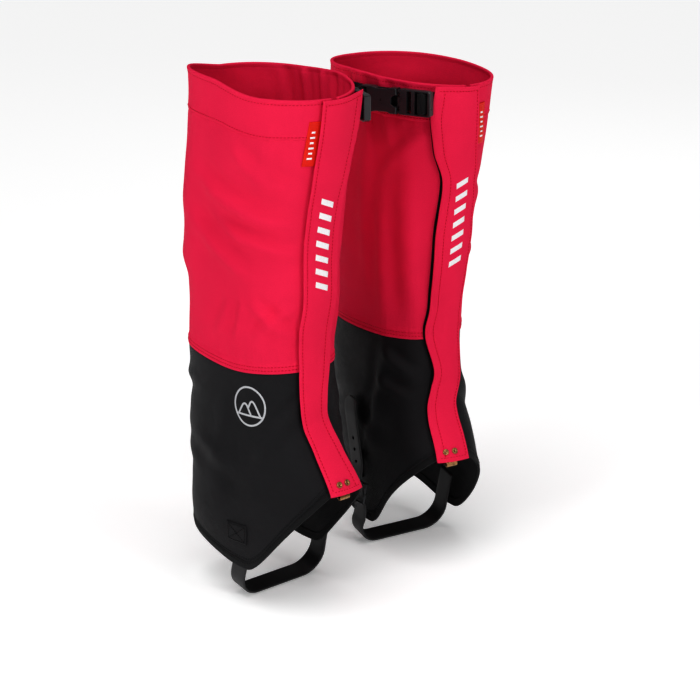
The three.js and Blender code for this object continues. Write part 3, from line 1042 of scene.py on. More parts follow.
class Finish(Enum):
    """Every finish on the pair; the value is its recipe and the material slot it belongs to."""

    RED_CLOTH = (PackCloth("red_pack_cloth", RED, sheen=0.0, dust=0.04, gloss=0.03), "red_nylon")
    BLACK_CLOTH = (
        PackCloth("black_pack_cloth", BLACK, rough=0.52, sheen=0.01, shade=0.2, dust=0.06, gloss=0.12),
        "black_nylon",
    )
    BINDING = (Tape("hem_tape", (0.015, 0.015, 0.016), rib=0.0011), "black_tape")
    LOOPS = (Touch("loop_pile", (0.004, 0.004, 0.0045), False), "black_tape")
    HOOKS = (Touch("hook_grid", (0.006, 0.006, 0.0065), True), "black_tape")
    WEBBING = (Tape("calf_webbing", (0.015, 0.015, 0.0162), rib=0.0017, depth=0.0005), "webbing")
    LABEL = (Tape("label_satin", (0.86, 0.024, 0.01), rib=0.0007, depth=0.00012, rough=0.5), "label")
    PLASTIC = (Moulded("buckle_black", (0.034, 0.034, 0.037), rough=0.3), "buckle_plastic")
    RUBBER = (Moulded("strap_rubber", (0.025, 0.0252, 0.0268), rough=0.52, grain=1400, scuff=0.35), "rubber")
    BRASS = (Hardware("aged_brass", (0.4, 0.23, 0.1), (0.1, 0.06, 0.035)), "brass")
    STEEL = (Hardware("blackened_wire", (0.07, 0.07, 0.074), (0.025, 0.022, 0.02), 0.42), "blackened_steel")
    RED_THREAD = (Thread("red_thread", (0.5, 0.004, 0.026)), "red_nylon")
    BLACK_THREAD = (Thread("black_thread", (0.0085, 0.0085, 0.009)), "black_nylon")
    GREY_PRINT = (Ink("grey_print", (0.5, 0.51, 0.53), BLACK), "black_nylon")
    PALE_PRINT = (Ink("pale_print", (0.86, 0.85, 0.87), RED), "red_nylon")


class Wardrobe:
    """Makes each finish's material once and puts it on pieces."""

    def __init__(self) -> None:
        """Starts with no materials."""
        self.made: dict[Finish, bpy.types.Material] = {}

    def dress(self, piece: bpy.types.Object, finish: Finish) -> bpy.types.Object:
        """Gives a piece its only material.

        Args:
            piece: the mesh object.
            finish: its finish.

        Returns:
            The same piece.
        """
        recipe, slot = finish.value
        if finish not in self.made:
            self.made[finish] = recipe.material()
        piece.data.materials.clear()
        piece.data.materials.append(self.made[finish])
        return piece


# ---------------------------------------------------------------- the sewn shell


def edged(low: float, high: float, count: int, ease: float = 1.6) -> Array:
    """Rising values from low to high, crowded within ease of both ends so that a rounded edge is smooth."""
    near = ease * (1 - np.cos(np.linspace(0, np.pi / 2, 7)))
    return np.concatenate([low + near, np.linspace(low + ease, high - ease, count)[1:-1], high - near[::-1]])


def inset(u: Array, left: Array | float, right: Array | float, v: Array, low: float, high: float) -> Array:
    """Distance to the nearest edge of a four-sided piece."""
    return np.minimum(np.minimum(u - left, right - u), np.minimum(v - low, high - v))


def rolled(distance: Array, half: float) -> Array:
    """Half thickness near an edge: a quarter circle in the distance from it, then constant."""
    t = np.clip(1 - distance / half, 0, 1)
    return half * np.sqrt(np.clip(1 - t * t, 0, 1))


@dataclass(frozen=True)
class Shell:
    """The gaiter's cloth surface: the smooth leg form with its folds, and where it stands."""

    form: LegForm
    drape: Drape
    stance: Stance
    rim_rise: tuple = (4, 4, 1, -2, -4, -1, 3, 4, 4)
    seam_drop: tuple = (0.0, 0.0)
    rim_angles: tuple = (-180, -120, -60, -20, 0, 40, 90, 140, 180)
    slit: tuple = (14.0, 8.0)

    def seam(self, angle: Array) -> Array:
        """Height where red cloth meets black: a little lower in front and on the outer side."""
        side = np.clip(np.sin(angle), 0, 1) ** 2
        return self.form.seam - self.seam_drop[0] - self.seam_drop[1] * side

    def lifted(self, angle: Array, z: Array) -> Array:
        """How much higher the cloth sits than a level rim, fading out down the calf.

        Args:
            angle: directions round the leg, 0 forwards and rising outwards.
            z: heights.

        Returns:
            Millimetres up, or down where negative.
        """
        degrees = np.degrees(np.arctan2(np.sin(angle), np.cos(angle)))
        rise = eased(np.array(self.rim_angles, float), np.array(self.rim_rise, float), degrees)
        return rise * ramp(z, 385, self.form.rim)

    def at(self, angle: Array, z: Array, offset: Array | float, folds: Array | float = 1.0) -> Array:
        """Point at a distance off the cloth: form point plus unit normal times the fold height and the offset.

        Args:
            angle: direction round the leg.
            z: height.
            offset: distance off the cloth.
            folds: share of the fold height that is followed.

        Returns:
            Points in the gaiter's millimetres, raised or lowered towards the uneven rim.
        """
        angle, z = np.broadcast_arrays(np.asarray(angle, float), np.asarray(z, float))
        rise = self.drape.height(angle, z) * folds + offset
        p = self.form.points(angle, z) + self.form.normals(angle, z) * rise[..., None]
        p[..., 2] += self.lifted(angle, z)
        return p

    def strip(self, across: Array, z: Array) -> Array:
        """Angle of places given by their distance beside the flap's middle."""
        return self.form.angle_at(self.form.centre(z) + across, z)

    def round(self, u: Array, z: Array) -> Array:
        """Angle of the body's cloth: u from 0 at its outer front edge, round the back, to 1 at its inner one.

        Args:
            u: share of the way round.
            z: heights.

        Returns:
            Angles, rising past a whole turn.
        """
        first = self.strip(np.asarray(self.slit[0]), z)
        last = self.strip(np.asarray(self.slit[1]), z) + 2 * np.pi
        return first + (last - first) * u

    def wrap(self, low: Callable[[Array], Array], high: Callable[[Array], Array], rise: Array, around: int) -> tuple:
        """Grid of angles and heights between two edges of the body.

        Args:
            low: lower edge as a height for each angle.
            high: upper edge.
            rise: share of the way up, rising from 0 to 1.
            around: points round the leg.

        Returns:
            Angle and height grids, around by len(rise).
        """
        u = np.linspace(0, 1, around)[:, None]
        level = self.round(u, np.full(u.shape, 150.0))
        z = low(level) + (high(level) - low(level)) * rise[None, :]
        return self.round(np.broadcast_to(u, z.shape), z), z

    def pattern(self, angle: Array, z: Array) -> Array:
        """Flat pattern position: distance round the leg and height.

        Args:
            angle: directions round the leg, 0 forwards and rising outwards.
            z: heights.

        Returns:
            Pattern positions along the last axis.
        """
        step = np.linalg.norm(np.diff(self.form.points(angle, z), axis=0), axis=-1)
        u = np.concatenate([np.zeros((1,) + step.shape[1:]), np.cumsum(step, axis=0)])
        return np.stack([u, z], -1)

    def sheet(
        self,
        angle: Array,
        z: Array,
        outer: Array | float,
        inner: Array | float,
        folds: float = 1.0,
        flat: Array | None = None,
    ) -> Solid:
        """Closed sheet between two offsets.

        Args:
            angle: directions round the leg, a grid.
            z: heights of the grid.
            outer: distance of the outer face off the cloth.
            inner: distance of the inner face.
            folds: share of the cloth's folds that both faces follow.
            flat: pattern positions; the way round the leg and the height where they are left out.

        Returns:
            The sheet.
        """
        if flat is None:
            flat = self.pattern(angle, z)
        return slab(self.at(angle, z, outer, folds), self.at(angle, z, inner, folds), flat)

    def beside(self, across: Array, z: Array, outer: Array, inner: Array | float, folds: float, flat: tuple) -> Solid:
        """Closed sheet whose grid is given by distances beside the flap's middle, its pattern by two grids."""
        return self.sheet(self.strip(across, z), z, outer, inner, folds, np.stack(flat, -1))

    def row(self, angle: Array, z: Array, offset: Array | float, folds: float = 1.0, **size: float) -> Solid:
        """Row of stitches along a line of angles and heights."""
        path = self.at(angle, z, offset, folds)
        return stitches(path, self.form.normals(angle, z), **size)

    def line(self, angle: Array, z: Array, width: float, low: float, high: float, folds: float = 1.0) -> Solid:
        """Flat raised line on the cloth, of even width, along a path.

        The band's sides lie half the width either way along normal cross tangent.

        Args:
            angle: directions round the leg, 0 forwards and rising outwards.
            z: heights.
            width: width of the line.
            low: its edges' distance off the cloth.
            high: its face's distance.
            folds: share of the cloth's folds that it follows.

        Returns:
            The line as a closed sheet.
        """
        mid = self.at(angle, z, 0.0, folds)
        n = self.form.normals(angle, z)
        side = unit(np.cross(n, directions(mid)))
        s = np.array([-0.5, -0.46, 0.0, 0.46, 0.5])[None, :, None] * width
        lift = np.array([low, high, high, high, low])[None, :, None]
        top = mid[:, None] + side[:, None] * s + n[:, None] * lift
        under = mid[:, None] + side[:, None] * s + n[:, None] * (low - 0.15)
        flat = np.stack(np.broadcast_arrays(travelled(mid)[:, None], s[..., 0]), -1)
        return slab(top, under, flat)


@dataclass
class Bench:
    """What every sub-assembly needs: the shell it is sewn to, the wardrobe and the bodies that pieces ride on."""

    shell: Shell
    wardrobe: Wardrobe
    root: str = "pair"

    @property
    def prefix(self) -> str:
        """Start of this gaiter's names."""
        return self.shell.stance.side.prefix

    def _made(
        self, name: str, solid: Solid, finish: Finish, replaces: Sequence[str], holes: Solid | None
    ) -> bpy.types.Object:
        """Makes and dresses a piece that stands for the named CAD nodes, cut by its holes.

        Args:
            name: piece name without prefix.
            solid: its mesh.
            finish: its finish.
            replaces: CAD nodes without prefix.
            holes: closed bodies cut out of it, if any.

        Returns:
            The piece, on no body yet.
        """
        piece = make_object(self.prefix + name, solid, self.shell.stance)
        if holes is not None:
            carve(piece, make_object(self.prefix + "drill", holes, self.shell.stance))
        self.wardrobe.dress(piece, finish)
        if replaces:
            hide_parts(*[self.prefix + node for node in replaces])
        LOG.info("%s: %d faces", piece.name, len(piece.data.polygons))
        return piece

    def _ridden(self, body: str | None) -> str:
        """Full name of a body; the root where none is given."""
        return self.root if body is None else self.prefix + body

    def add(
        self, name: str, solid: Solid, finish: Finish, body: str | None = None, replaces: Sequence[str] = ()
    ) -> None:
        """Makes a piece that rides on one body.

        Args:
            name: piece name without the gaiter's prefix.
            solid: its mesh.
            finish: its finish.
            body: the body without prefix; None for the root.
            replaces: CAD nodes it stands for, without prefix.
        """
        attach(self._made(name, solid, finish, replaces, None), self._ridden(body))

    def bent(
        self,
        name: str,
        solid: Solid,
        finish: Finish,
        body: str,
        between: Sequence[Sequence[float]],
        replaces: Sequence[str] = (),
        holes: Solid | None = None,
    ) -> None:
        """Makes a piece and bakes its transform; it is put on no body and nothing bends it.

        Args:
            name: piece name without the gaiter's prefix.
            solid: its mesh.
            finish: its finish.
            body: the moving body without prefix; not used.
            between: two points, in the gaiter's millimetres: still up to the first, moving from the second on; not
                used.
            replaces: CAD nodes it stands for, without prefix.
            holes: closed bodies cut out of it.
        """
        piece = self._made(name, solid, finish, replaces, holes)
        start, end = self.shell.stance.place(np.array(between, float))
        self._ridden(body)
        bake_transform(piece)

    def fitting(self, node: str, name: str, finish: Finish, edge: float, body: str | None = None) -> None:
        """Refined copy of a hard CAD node, dressed and attached.

        Args:
            node: the CAD node without prefix.
            name: piece name without prefix.
            finish: its finish.
            edge: width of its rounded edges.
            body: the body without prefix; None for the root.
        """
        piece = refined(self.prefix + node, self.prefix + name, edge)
        self.wardrobe.dress(piece, finish)
        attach(piece, self._ridden(body))
        LOG.info("%s: fitting", piece.name)


@dataclass
class Calf:
    """Red calf tube with its folded top hem and their seams."""

    bench: Bench
    band: float = 38.0
    rim_seam: float = 4.3
    cloth: float = 1.2
    around: int = 250

    def build(self) -> None:
        """Panel, folded hem and stitch rows."""
        shell, form = self.bench.shell, self.bench.shell.form
        base = form.rim - self.band
        rise = (edged(form.seam - 0.2, base + 1.5, 118) - form.seam + 0.2) / (base + 1.7 - form.seam)
        angle, z = shell.wrap(lambda a: shell.seam(a) - 0.2, lambda a: 0 * a + base + 1.5, rise, self.around)
        above = z - shell.seam(angle)
        lap = 0.75 * (1 - ramp(above, 9.0, 11.0))
        half = rolled(above + 0.2, self.cloth / 2 + 0.35)
        outer = np.where(above > 6, lap, lap - 0.95 + half)
        self.bench.add(
            "calf_cloth", shell.sheet(angle, z, outer, -self.cloth), Finish.RED_CLOTH, replaces=["upper_panel"]
        )
        self._hem(base)
        self._seams(base)

    def _hem(self, base: float) -> None:
        """Folded hem: thicker by one fold, its rim a half circle and its lower edge rolled.

        Args:
            base: height of the hem's lower edge.
        """
        shell, form = self.bench.shell, self.bench.shell.form
        heights = edged(base, form.rim, 34)
        rise = (heights - base) / self.band
        angle, z = shell.wrap(lambda a: 0 * a + base, lambda a: 0 * a + form.rim, rise, self.around)
        near = np.minimum(z - base, form.rim - z)
        half = rolled(near, 1.35)
        puff = 0.35 * bell(z, form.rim - 1.5, 2.5) - 0.3 * bell(z, form.rim - self.rim_seam, 0.8)
        self.bench.add(
            "folded_rim",
            shell.sheet(angle, z, -0.9 + half + puff, -0.9 - half - puff * 0.8),
            Finish.RED_CLOTH,
            replaces=["top_band"],
        )

    def _seams(self, base: float) -> None:
        """Stitch rows at the rim, inside and out, at the hem's lower edge and above the black panel.

        Args:
            base: height of the hem's lower edge.
        """
        shell, form = self.bench.shell, self.bench.shell.form
        u = np.linspace(0.003, 0.997, 420)
        rows = []
        top, foot = form.rim - self.rim_seam, base + 3.2
        for level, offset in ((top, 0.2), (top, -2.0), (foot, 0.45), (foot, -2.25)):
            z = np.full(u.shape, level)
            rows.append(shell.row(shell.round(u, z), z, offset, radius=0.34))
        for gap in (3.4, 6.8):
            z = shell.seam(shell.round(u, np.full(u.shape, form.seam))) + gap
            rows.append(shell.row(shell.round(u, z), z, 0.72, radius=0.36))
        self.bench.add("calf_seams", Solid.joined(rows), Finish.RED_THREAD)


@dataclass
class Ankle:
    """Black ankle panel with its bound hem, strap patch and printed mark."""

    bench: Bench
    cloth: float = 1.2
    binding: float = 9.0
    around: int = 230
    patch: tuple = (73.0, 99.5, 62.0, 82.0)
    mark_angle: float = 66.5
    mark_height: float = 200.5
    mark_radius: float = 18.5
    mark_line: float = 1.9

    def build(self) -> None:
        """Panel, binding, patch, stitches and mark."""
        shell, form = self.bench.shell, self.bench.shell.form
        rise = np.linspace(0, 1, 112)
        angle, z = shell.wrap(
            lambda a: form.hem(a) + self.binding - 0.8, lambda a: shell.seam(a) + 0.6, rise, self.around
        )
        tuck = -0.35 * ramp(z - shell.seam(angle), -1.4, 0.0)
        self.bench.add(
            "ankle_cloth", shell.sheet(angle, z, tuck, -self.cloth), Finish.BLACK_CLOTH, replaces=["lower_panel"]
        )
        self._binding()
        self._patch()
        self._mark()

    def _binding(self) -> None:
        """Tape folded over the hem: a half-round lower edge and a stitched upper one."""
        shell, form = self.bench.shell, self.bench.shell.form
        rise = edged(0.0, self.binding, 8, 1.4) / self.binding
        angle, z = shell.wrap(form.hem, lambda a: form.hem(a) + self.binding, rise, self.around)
        near = self.binding * np.minimum(rise, 1 - rise)[None, :] + 0 * z
        half = rolled(near, 1.3)
        flat = shell.pattern(angle, z)
        flat[..., 1] = rise[None, :] * self.binding
        tape = shell.sheet(angle, z, -0.7 + half, -0.7 - half, flat=flat)
        self.bench.add("hem_tape", tape, Finish.BINDING, replaces=["hem_binding"])
        u = np.linspace(0.003, 0.997, 420)
        level = shell.round(u, np.full(u.shape, 150.0))
        lower, upper = form.hem(level) + 6.6, form.hem(level) + 11.0
        rows = [
            shell.row(shell.round(u, z), z, offset, radius=radius)
            for z, offset, radius in ((lower, 0.66, 0.3), (upper, 0.06, 0.28))
        ]
        self.bench.add("hem_stitches", Solid.joined(rows), Finish.BLACK_THREAD)

    def _patch(self) -> None:
        """Patch that holds the strap inside, with a crossed box of stitches."""
        shell = self.bench.shell
        left, right, low, high = self.patch
        a, z = np.meshgrid(np.radians(np.linspace(left, right, 26)), np.linspace(low, high, 20), indexing="ij")
        edge = np.minimum(np.minimum(a - a.min(), a.max() - a) * 52, np.minimum(z - low, high - z))
        outer = 0.35 + rolled(edge, 0.9)
        patch = shell.sheet(a, z, outer, 0.05)
        self.bench.add("strap_patch", patch, Finish.BLACK_CLOTH, replaces=["anchor_patch"])
        corners = [(left + 2, low + 2), (right - 2, low + 2), (right - 2, high - 2), (left + 2, high - 2)]
        lines = [corners + corners[:1], [corners[0], corners[2]], [corners[3], corners[1]]]
        rows = []
        for line in lines:
            p = resampled(np.array([(d * DEGREE, h) for d, h in line], float), 0.8)
            rows.append(shell.row(np.radians(p[:, 0] / DEGREE), p[:, 1], 1.3, length=2.0, gap=0.7, radius=0.3))
        self.bench.add("patch_stitches", Solid.joined(rows), Finish.BLACK_THREAD)

    def _mark(self) -> None:
        """Plain ring with two hills, printed in grey on the outer side."""
        shell = self.bench.shell
        t = np.linspace(0, 2 * np.pi, 120)
        shapes = [
            np.stack([self.mark_radius * np.cos(t), self.mark_radius * np.sin(t)], -1),
            smoothed([(-13.2, -8.5), (-4.5, 5.5), (3.2, -8.5)], 0.9, 2),
            smoothed([(-0.6, -2.2), (4.6, 8.5), (13.6, -8.5)], 0.9, 2),
            resampled(np.array([(-15, -8.9), (15.2, -8.9)]), 1.0),
        ]
        lines = []
        for shape in shapes:
            angle = math.radians(self.mark_angle) - shape[:, 0] / 56.0
            lines.append(shell.line(angle, self.mark_height + shape[:, 1], self.mark_line, 0.05, 0.22))
        self.bench.add("ankle_mark", Solid.joined(lines), Finish.GREY_PRINT)


@dataclass
class FrontFlap:
    """Long red front flap over touch tape, its printed bars, label, rivets and lace hook."""

    bench: Bench
    outline: tuple
    # how far the loop tape shows past the flap's free edge; the black strip it shows is painted shade for the shadow
    # in the gap
    gap_shade_reveal: float = -1.5
    hook: float = 0.4
    half: float = 21.0
    low: float = 3.4
    thick: float = 1.7
    top: float = 500.6
    foot: float = 121.0
    waves: tuple = (
        (205.0, 1.5, 24.0),
        (168.0, -1.4, 16.0),
        (256.0, 1.1, 17.0),
        (332.0, 0.9, 30.0),
        (424.0, 1.0, 22.0),
    )
    bars: tuple = (321.0, 412.0, 13.4)
    loops: tuple = (140, 474)
    hooks: tuple = (247, 463)
    label: tuple = (22.0, 33.5, 438, 481)
    rivets: float = 130.0
    outer_seam: float = 3.0
    inner_seam: float = 7.5
    top_seam: float = 4.5

    def edges(self, z: Array) -> tuple:
        """Distance of the inner and outer edges beside the middle, from the outline's levels."""
        levels, outer, inner = (np.array(v, float) for v in zip(*self.outline))
        return eased(levels, inner, z), eased(levels, outer, z)

    def ripple(self, across: Array, z: Array) -> Array:
        """How far the flap lifts.

        Shallow folds cross it, its free edge stands off, and the webbing under it pushes its inner top corner out.

        Args:
            across: distances beside the flap's middle.
            z: heights.

        Returns:
            Millimetres off the flap's plain place.
        """
        s = across / self.half
        lift = 0.0 * z
        for height, depth, width in self.waves:
            lift = lift + depth * bell(z + across * 0.35, height, width) * (0.55 + 0.45 * np.cos(s * 1.6))
        fine = 0.3 * np.sin(z / 7.5 + 2 * np.sin(z / 31.0) + across * 0.06)
        corner = 3.0 * np.clip(-(across + 8) / 14, 0, 1) ** 2 * ramp(z, 436, 472)
        return lift * 0.6 + 0.7 * np.clip(-s, 0, 1) ** 3 + fine * (0.4 + 0.6 * np.abs(s)) + corner

    def face(self, across: Array, z: Array) -> Array:
        """Offset of the flap's outer face."""
        return self.low + self.thick + self.ripple(across, z)

    def build(self) -> None:
        """The flap in one piece, then what is sewn or riveted to it."""
        shell = self.bench.shell
        share, z = np.meshgrid(edged(0.0, 1.0, 44, 0.045), edged(self.foot, self.top, 250), indexing="ij")
        inner, outer = self.edges(z)
        across = inner + (outer - inner) * share
        half = rolled(inset(across, inner, outer, z, self.foot, self.top), self.thick / 2)
        groove = 0.28 * (bell(across, outer - self.outer_seam, 0.7) + bell(across, inner + self.inner_seam, 0.7))
        groove = groove + 0.25 * bell(z, self.top - self.top_seam, 0.8)
        middle = self.low + self.thick / 2 + self.ripple(across, z)
        flap = shell.beside(across, z, middle + half - groove, middle - half, ON_FLAP, (across, z))
        self.bench.bent("front_flap", flap, Finish.RED_CLOTH, "flap", FLAP_BEND, ["cover_flap", "flap_foot"])
        self._stitches()
        self._bars()
        self._tapes()
        self._label()
        self._rivets()

    def _stitches(self) -> None:
        """Rows beside both long edges, under the top and above the foot."""
        shell = self.bench.shell
        z = np.linspace(self.foot + 4, self.top - 4, 900)
        inner, outer = self.edges(z)
        lines = [(outer - self.outer_seam, z), (inner + self.inner_seam, z)]
        for level in (self.top - self.top_seam, self.foot + 4):
            ends = self.edges(np.array(level))
            s = np.linspace(float(ends[0]) + 2.5, float(ends[1]) - 2.5, 90)
            lines.append((s, 0 * s + level))
        rows = [shell.row(shell.strip(a, h), h, self.face(a, h) - 0.2, ON_FLAP, radius=0.36) for a, h in lines]
        self.bench.bent("flap_stitches", Solid.joined(rows), Finish.RED_THREAD, "flap", FLAP_BEND)

    def _bars(self) -> None:
        """Column of slanted printed bars."""
        bars = []
        for height in np.arange(*self.bars):
            sides = self.edges(np.array(height))
            s = float(sides[0] + sides[1]) / 2 + 1.0 + np.linspace(-6.6, 6.6, 14)
            z = height + 0.42 * (s - s.mean())
            bars.append(self._print(s, z, 5.6))
        self.bench.add("flap_bars", Solid.joined(bars), Finish.PALE_PRINT, "flap")

    def _print(self, s: Array, z: Array, width: float) -> Solid:
        """Band of ink on the flap's face, raised a tenth of a millimetre, its ends cut upright.

        Args:
            s: places beside the flap's middle.
            z: height at each place.
            width: height of the band.

        Returns:
            The band.
        """
        h = np.linspace(-0.5, 0.5, 7) * width
        across, level = np.broadcast_arrays(s[:, None], z[:, None] + h[None, :])
        face = self.face(across, level)
        return self.bench.shell.beside(across, level, face + 0.12, face - 0.1, ON_FLAP, (across, level))

    def _tapes(self) -> None:
        """Loop tape on the body, its black edge showing beside the flap's free edge as painted shade for the shadow
        in the gap, and hook tape behind the flap.
        """
        shell = self.bench.shell
        share, z = np.meshgrid(edged(0.0, 1.0, 18, 0.04), edged(*self.loops, 120, 0.8), indexing="ij")
        # the tape's edge sits this far past the flap's free edge, so its black strip is painted shade for the shadow
        # in the gap
        edge = self.edges(z)[0] - self.gap_shade_reveal
        across = edge + (6 - edge) * share
        half = rolled(inset(across, edge, 6, z, *self.loops), 1.3)
        pile = shell.beside(across, z, 0.5 + half, 0.2, 0.7, (z, across))
        self.bench.add("loop_pile", pile, Finish.LOOPS, replaces=["loop_tape"])
        share, z = np.meshgrid(edged(0.0, 1.0, 14, 0.03), edged(*self.hooks, 90, 0.5), indexing="ij")
        edge = self.edges(z)[0] + 1.5
        across = edge + (5 - edge) * share
        half = rolled(inset(across, edge, 5, z, *self.hooks), 0.45)
        middle = self.low + self.ripple(across, z) - 0.55
        grid = shell.beside(across, z, middle + half, middle - half, ON_FLAP, (z, across))
        self.bench.bent("hook_grid", grid, Finish.HOOKS, "flap", FLAP_BEND, ["hook_tape"])

    def _label(self) -> None:
        """Small woven label beside the flap, with plain pale bars and its edge stitches."""
        shell = self.bench.shell
        left, right, low, high = self.label
        across, z = np.meshgrid(edged(left, right, 14, 0.7), edged(low, high, 30, 0.7), indexing="ij")
        outer = 1.0 + rolled(inset(across, left, right, z, low, high), 0.7) + 0.25 * np.sin((z - low) / 8.0)
        label = shell.beside(across, z, outer, 0.25, 1.0, (z, across))
        self.bench.add("woven_label", label, Finish.LABEL, replaces=["side_label"])
        bars = []
        for k, height in enumerate(np.arange(446.0, 472.0, 5.0)):
            reach = (4.4, 3.2)[k % 2]
            s = np.linspace(28.6 - reach / 2, 28.6 + reach / 2, 8)
            h = np.linspace(-0.9, 0.9, 4)
            a, level = np.broadcast_arrays(s[:, None], height + h[None, :])
            lift = 1.7 + 0.25 * np.sin((level - low) / 8.0)
            bars.append(shell.beside(a, level, lift + 0.12, lift - 0.1, 1.0, (a, level)))
        self.bench.add("label_bars", Solid.joined(bars), Finish.PALE_PRINT)

    def _rivets(self) -> None:
        """Two brass rivets through the flap's foot and the lace hook behind it."""
        shell, form = self.bench.shell, self.bench.shell.form
        radii = (0.0, 0.9, 1.25, 1.5, 2.1, 2.7, 3.05, 3.1, 3.0)
        heights = (0.55, 0.5, 0.75, 1.25, 1.5, 1.3, 0.8, 0.1, -0.6)
        profile = np.stack([radii, heights], -1)
        for name, lateral in (("a", self.hook + 4.5), ("b", self.hook - 4.5)):
            z = np.array(self.rivets)
            angle = form.angle_at(np.array(lateral), z)
            n = form.normals(angle, z)
            across = lateral - float(form.centre(z))
            centre = shell.at(angle, z, float(self.face(np.array(across), z)) + 0.1, ON_FLAP)
            head = turned(centre, n, profile)
            self.bench.add(f"rivet_{name}", head, Finish.BRASS, replaces=[f"hook_rivet_{name}"])
        self.bench.fitting("lace_hook", "hook", Finish.BRASS, 0.25)


def turned(centre: Array, axis: Array, profile: Array, sides: int = 28) -> Solid:
    """Lathe: each profile pair is a radius and a height along the axis; both ends are closed at the axis.

    Args:
        centre: where the heights start.
        axis: unit direction of the heights.
        profile: radius and height pairs.
        sides: points round the axis.

    Returns:
        The closed solid.
    """
    side = np.cross(axis, [0.0, 0.0, 1.0])
    side = side / np.linalg.norm(side)
    other = np.cross(axis, side)
    a = np.linspace(0, 2 * np.pi, sides, endpoint=False)
    r = np.maximum(profile[:, 0], 1e-3)
    ring = (
        centre
        + r[:, None, None] * (np.cos(a)[:, None] * side + np.sin(a)[:, None] * other)
        + profile[:, 1][:, None, None] * axis
    )
    points = np.concatenate([ring.reshape(-1, 3), [centre + axis * profile[k, 1] for k in (0, -1)]])
    return Solid(points, sweep_faces(len(profile), sides), points[:, :2].copy())


@dataclass
class CalfBuckle:
    """Side-release buckle with its webbing on the inner side of the calf."""

    bench: Bench
    turn: float = 65.2
    middle: float = 15.0
    lift: float = 1.0
    half: float = 12.5
    height: float = 482.0
    web: float = 20.0
    web_thick: float = 1.7
    ladder: tuple = (
        (33.6, -3.5),
        (33.6, 1.0),
        (33.4, 5.2),
        (32.2, 8.7),
        (29, 9.6),
        (25.8, 8.7),
        (24.6, 5.0),
        (23.6, 0.9),
        (20, -0.3),
        (16.8, 0.6),
        (15.5, 4.0),
    )
    under_bar: tuple = ((-33.7, 5.0), (-35.0, 0.8), (-37.5, 0.0), (-41, 2.0))
    over_bar: tuple = ((-33.8, 4.4), (-34.5, 9.3), (-38, 10.6), (-42, 8.8))

    def frame(self) -> tuple:
        """Buckle directions, x towards the flap and out away from the leg, then the buckle's middle.

        Returns:
            The two unit directions and the middle, in the gaiter's millimetres.
        """
        form = self.bench.shell.form
        t = math.radians(self.turn)
        x = np.array([math.cos(t), math.sin(t), 0.0])
        out = np.array([-x[1], x[0], 0.0])
        a = np.radians(np.arange(-100.0, 0.0))
        z = np.full(a.shape, self.height + self.half)
        p = form.points(a, z) + form.normals(a, z) * 0.4
        at = x * self.middle + out * (float((p @ out).max()) + self.lift)
        at[2] = self.height
        return x, out, at

    def build(self) -> None:
        """Buckle halves, prongs and both webbings."""
        for node, name, body in (
            ("buckle_socket", "socket", None),
            ("buckle_plug", "plug", "plug"),
            ("prong_upper", "upper_prong", "prong_up"),
            ("prong_lower", "lower_prong", "prong_low"),
        ):
            self.bench.fitting(node, name, Finish.PLASTIC, 0.7, body)
        self._plug_web()
        self._socket_web()

    def _on_leg(self, angles: Array) -> Array:
        """Middle line of webbing lying on the cloth."""
        z = np.full(angles.shape, self.height)
        return self.bench.shell.at(angles, z, 1.6, 0.5)

    def _band(self, corners: Array) -> Solid:
        """Webbing standing upright along a corner-cut path at the buckle's height.

        Args:
            corners: points that the path cuts past.

        Returns:
            The webbing.
        """
        path = smoothed(corners, 1.2)
        path[:, 2] = self.height
        up = np.broadcast_to(np.array([0.0, 0.0, 1.0]), path.shape)
        out = np.cross(directions(path), up)
        return tube(path, up, out, rounded(self.web, self.web_thick))

    def _plug_web(self) -> None:
        """Webbing from under the flap up to the buckle's ladder, over and under its bars."""
        x, out, at = self.frame()
        lock = np.array([at + x * a + out * b for a, b in self.ladder])
        leg = self._on_leg(self.bench.shell.strip(np.linspace(10, -23, 14), np.full(14, self.height)))
        between = (at + x * 33 - out * 6, at + x * 33 - out)
        band = self._band(np.concatenate([leg, lock]))
        self.bench.bent("ladder_web", band, Finish.WEBBING, "plug", between, ["plug_webbing"])

    def _socket_web(self) -> None:
        """Webbing sewn to the calf behind the buckle and looped through the socket's bar."""
        x, out, at = self.frame()
        under, over = (np.array([at + x * a + out * b for a, b in ends]) for ends in (self.under_bar, self.over_bar))
        path = np.concatenate([under, self._on_leg(np.radians(np.linspace(-86, -114, 12)))])
        fold = np.concatenate([over, self._on_leg(np.radians(np.linspace(-84, -90, 4))) + out * 1.9])
        solid = Solid.joined([self._band(path), self._band(fold)])
        self.bench.add("rear_web", solid, Finish.WEBBING, replaces=["socket_webbing"])
        z = np.linspace(self.height - 8.6, self.height + 8.6, 24)
        rows = [
            self.bench.shell.row(np.full(z.shape, math.radians(d)), z, 2.6, 0.5, length=2.0, gap=0.6, radius=0.34)
            for d in (-95.0, -97.5, -110.5)
        ]
        self.bench.add("web_tacks", Solid.joined(rows), Finish.BLACK_THREAD)


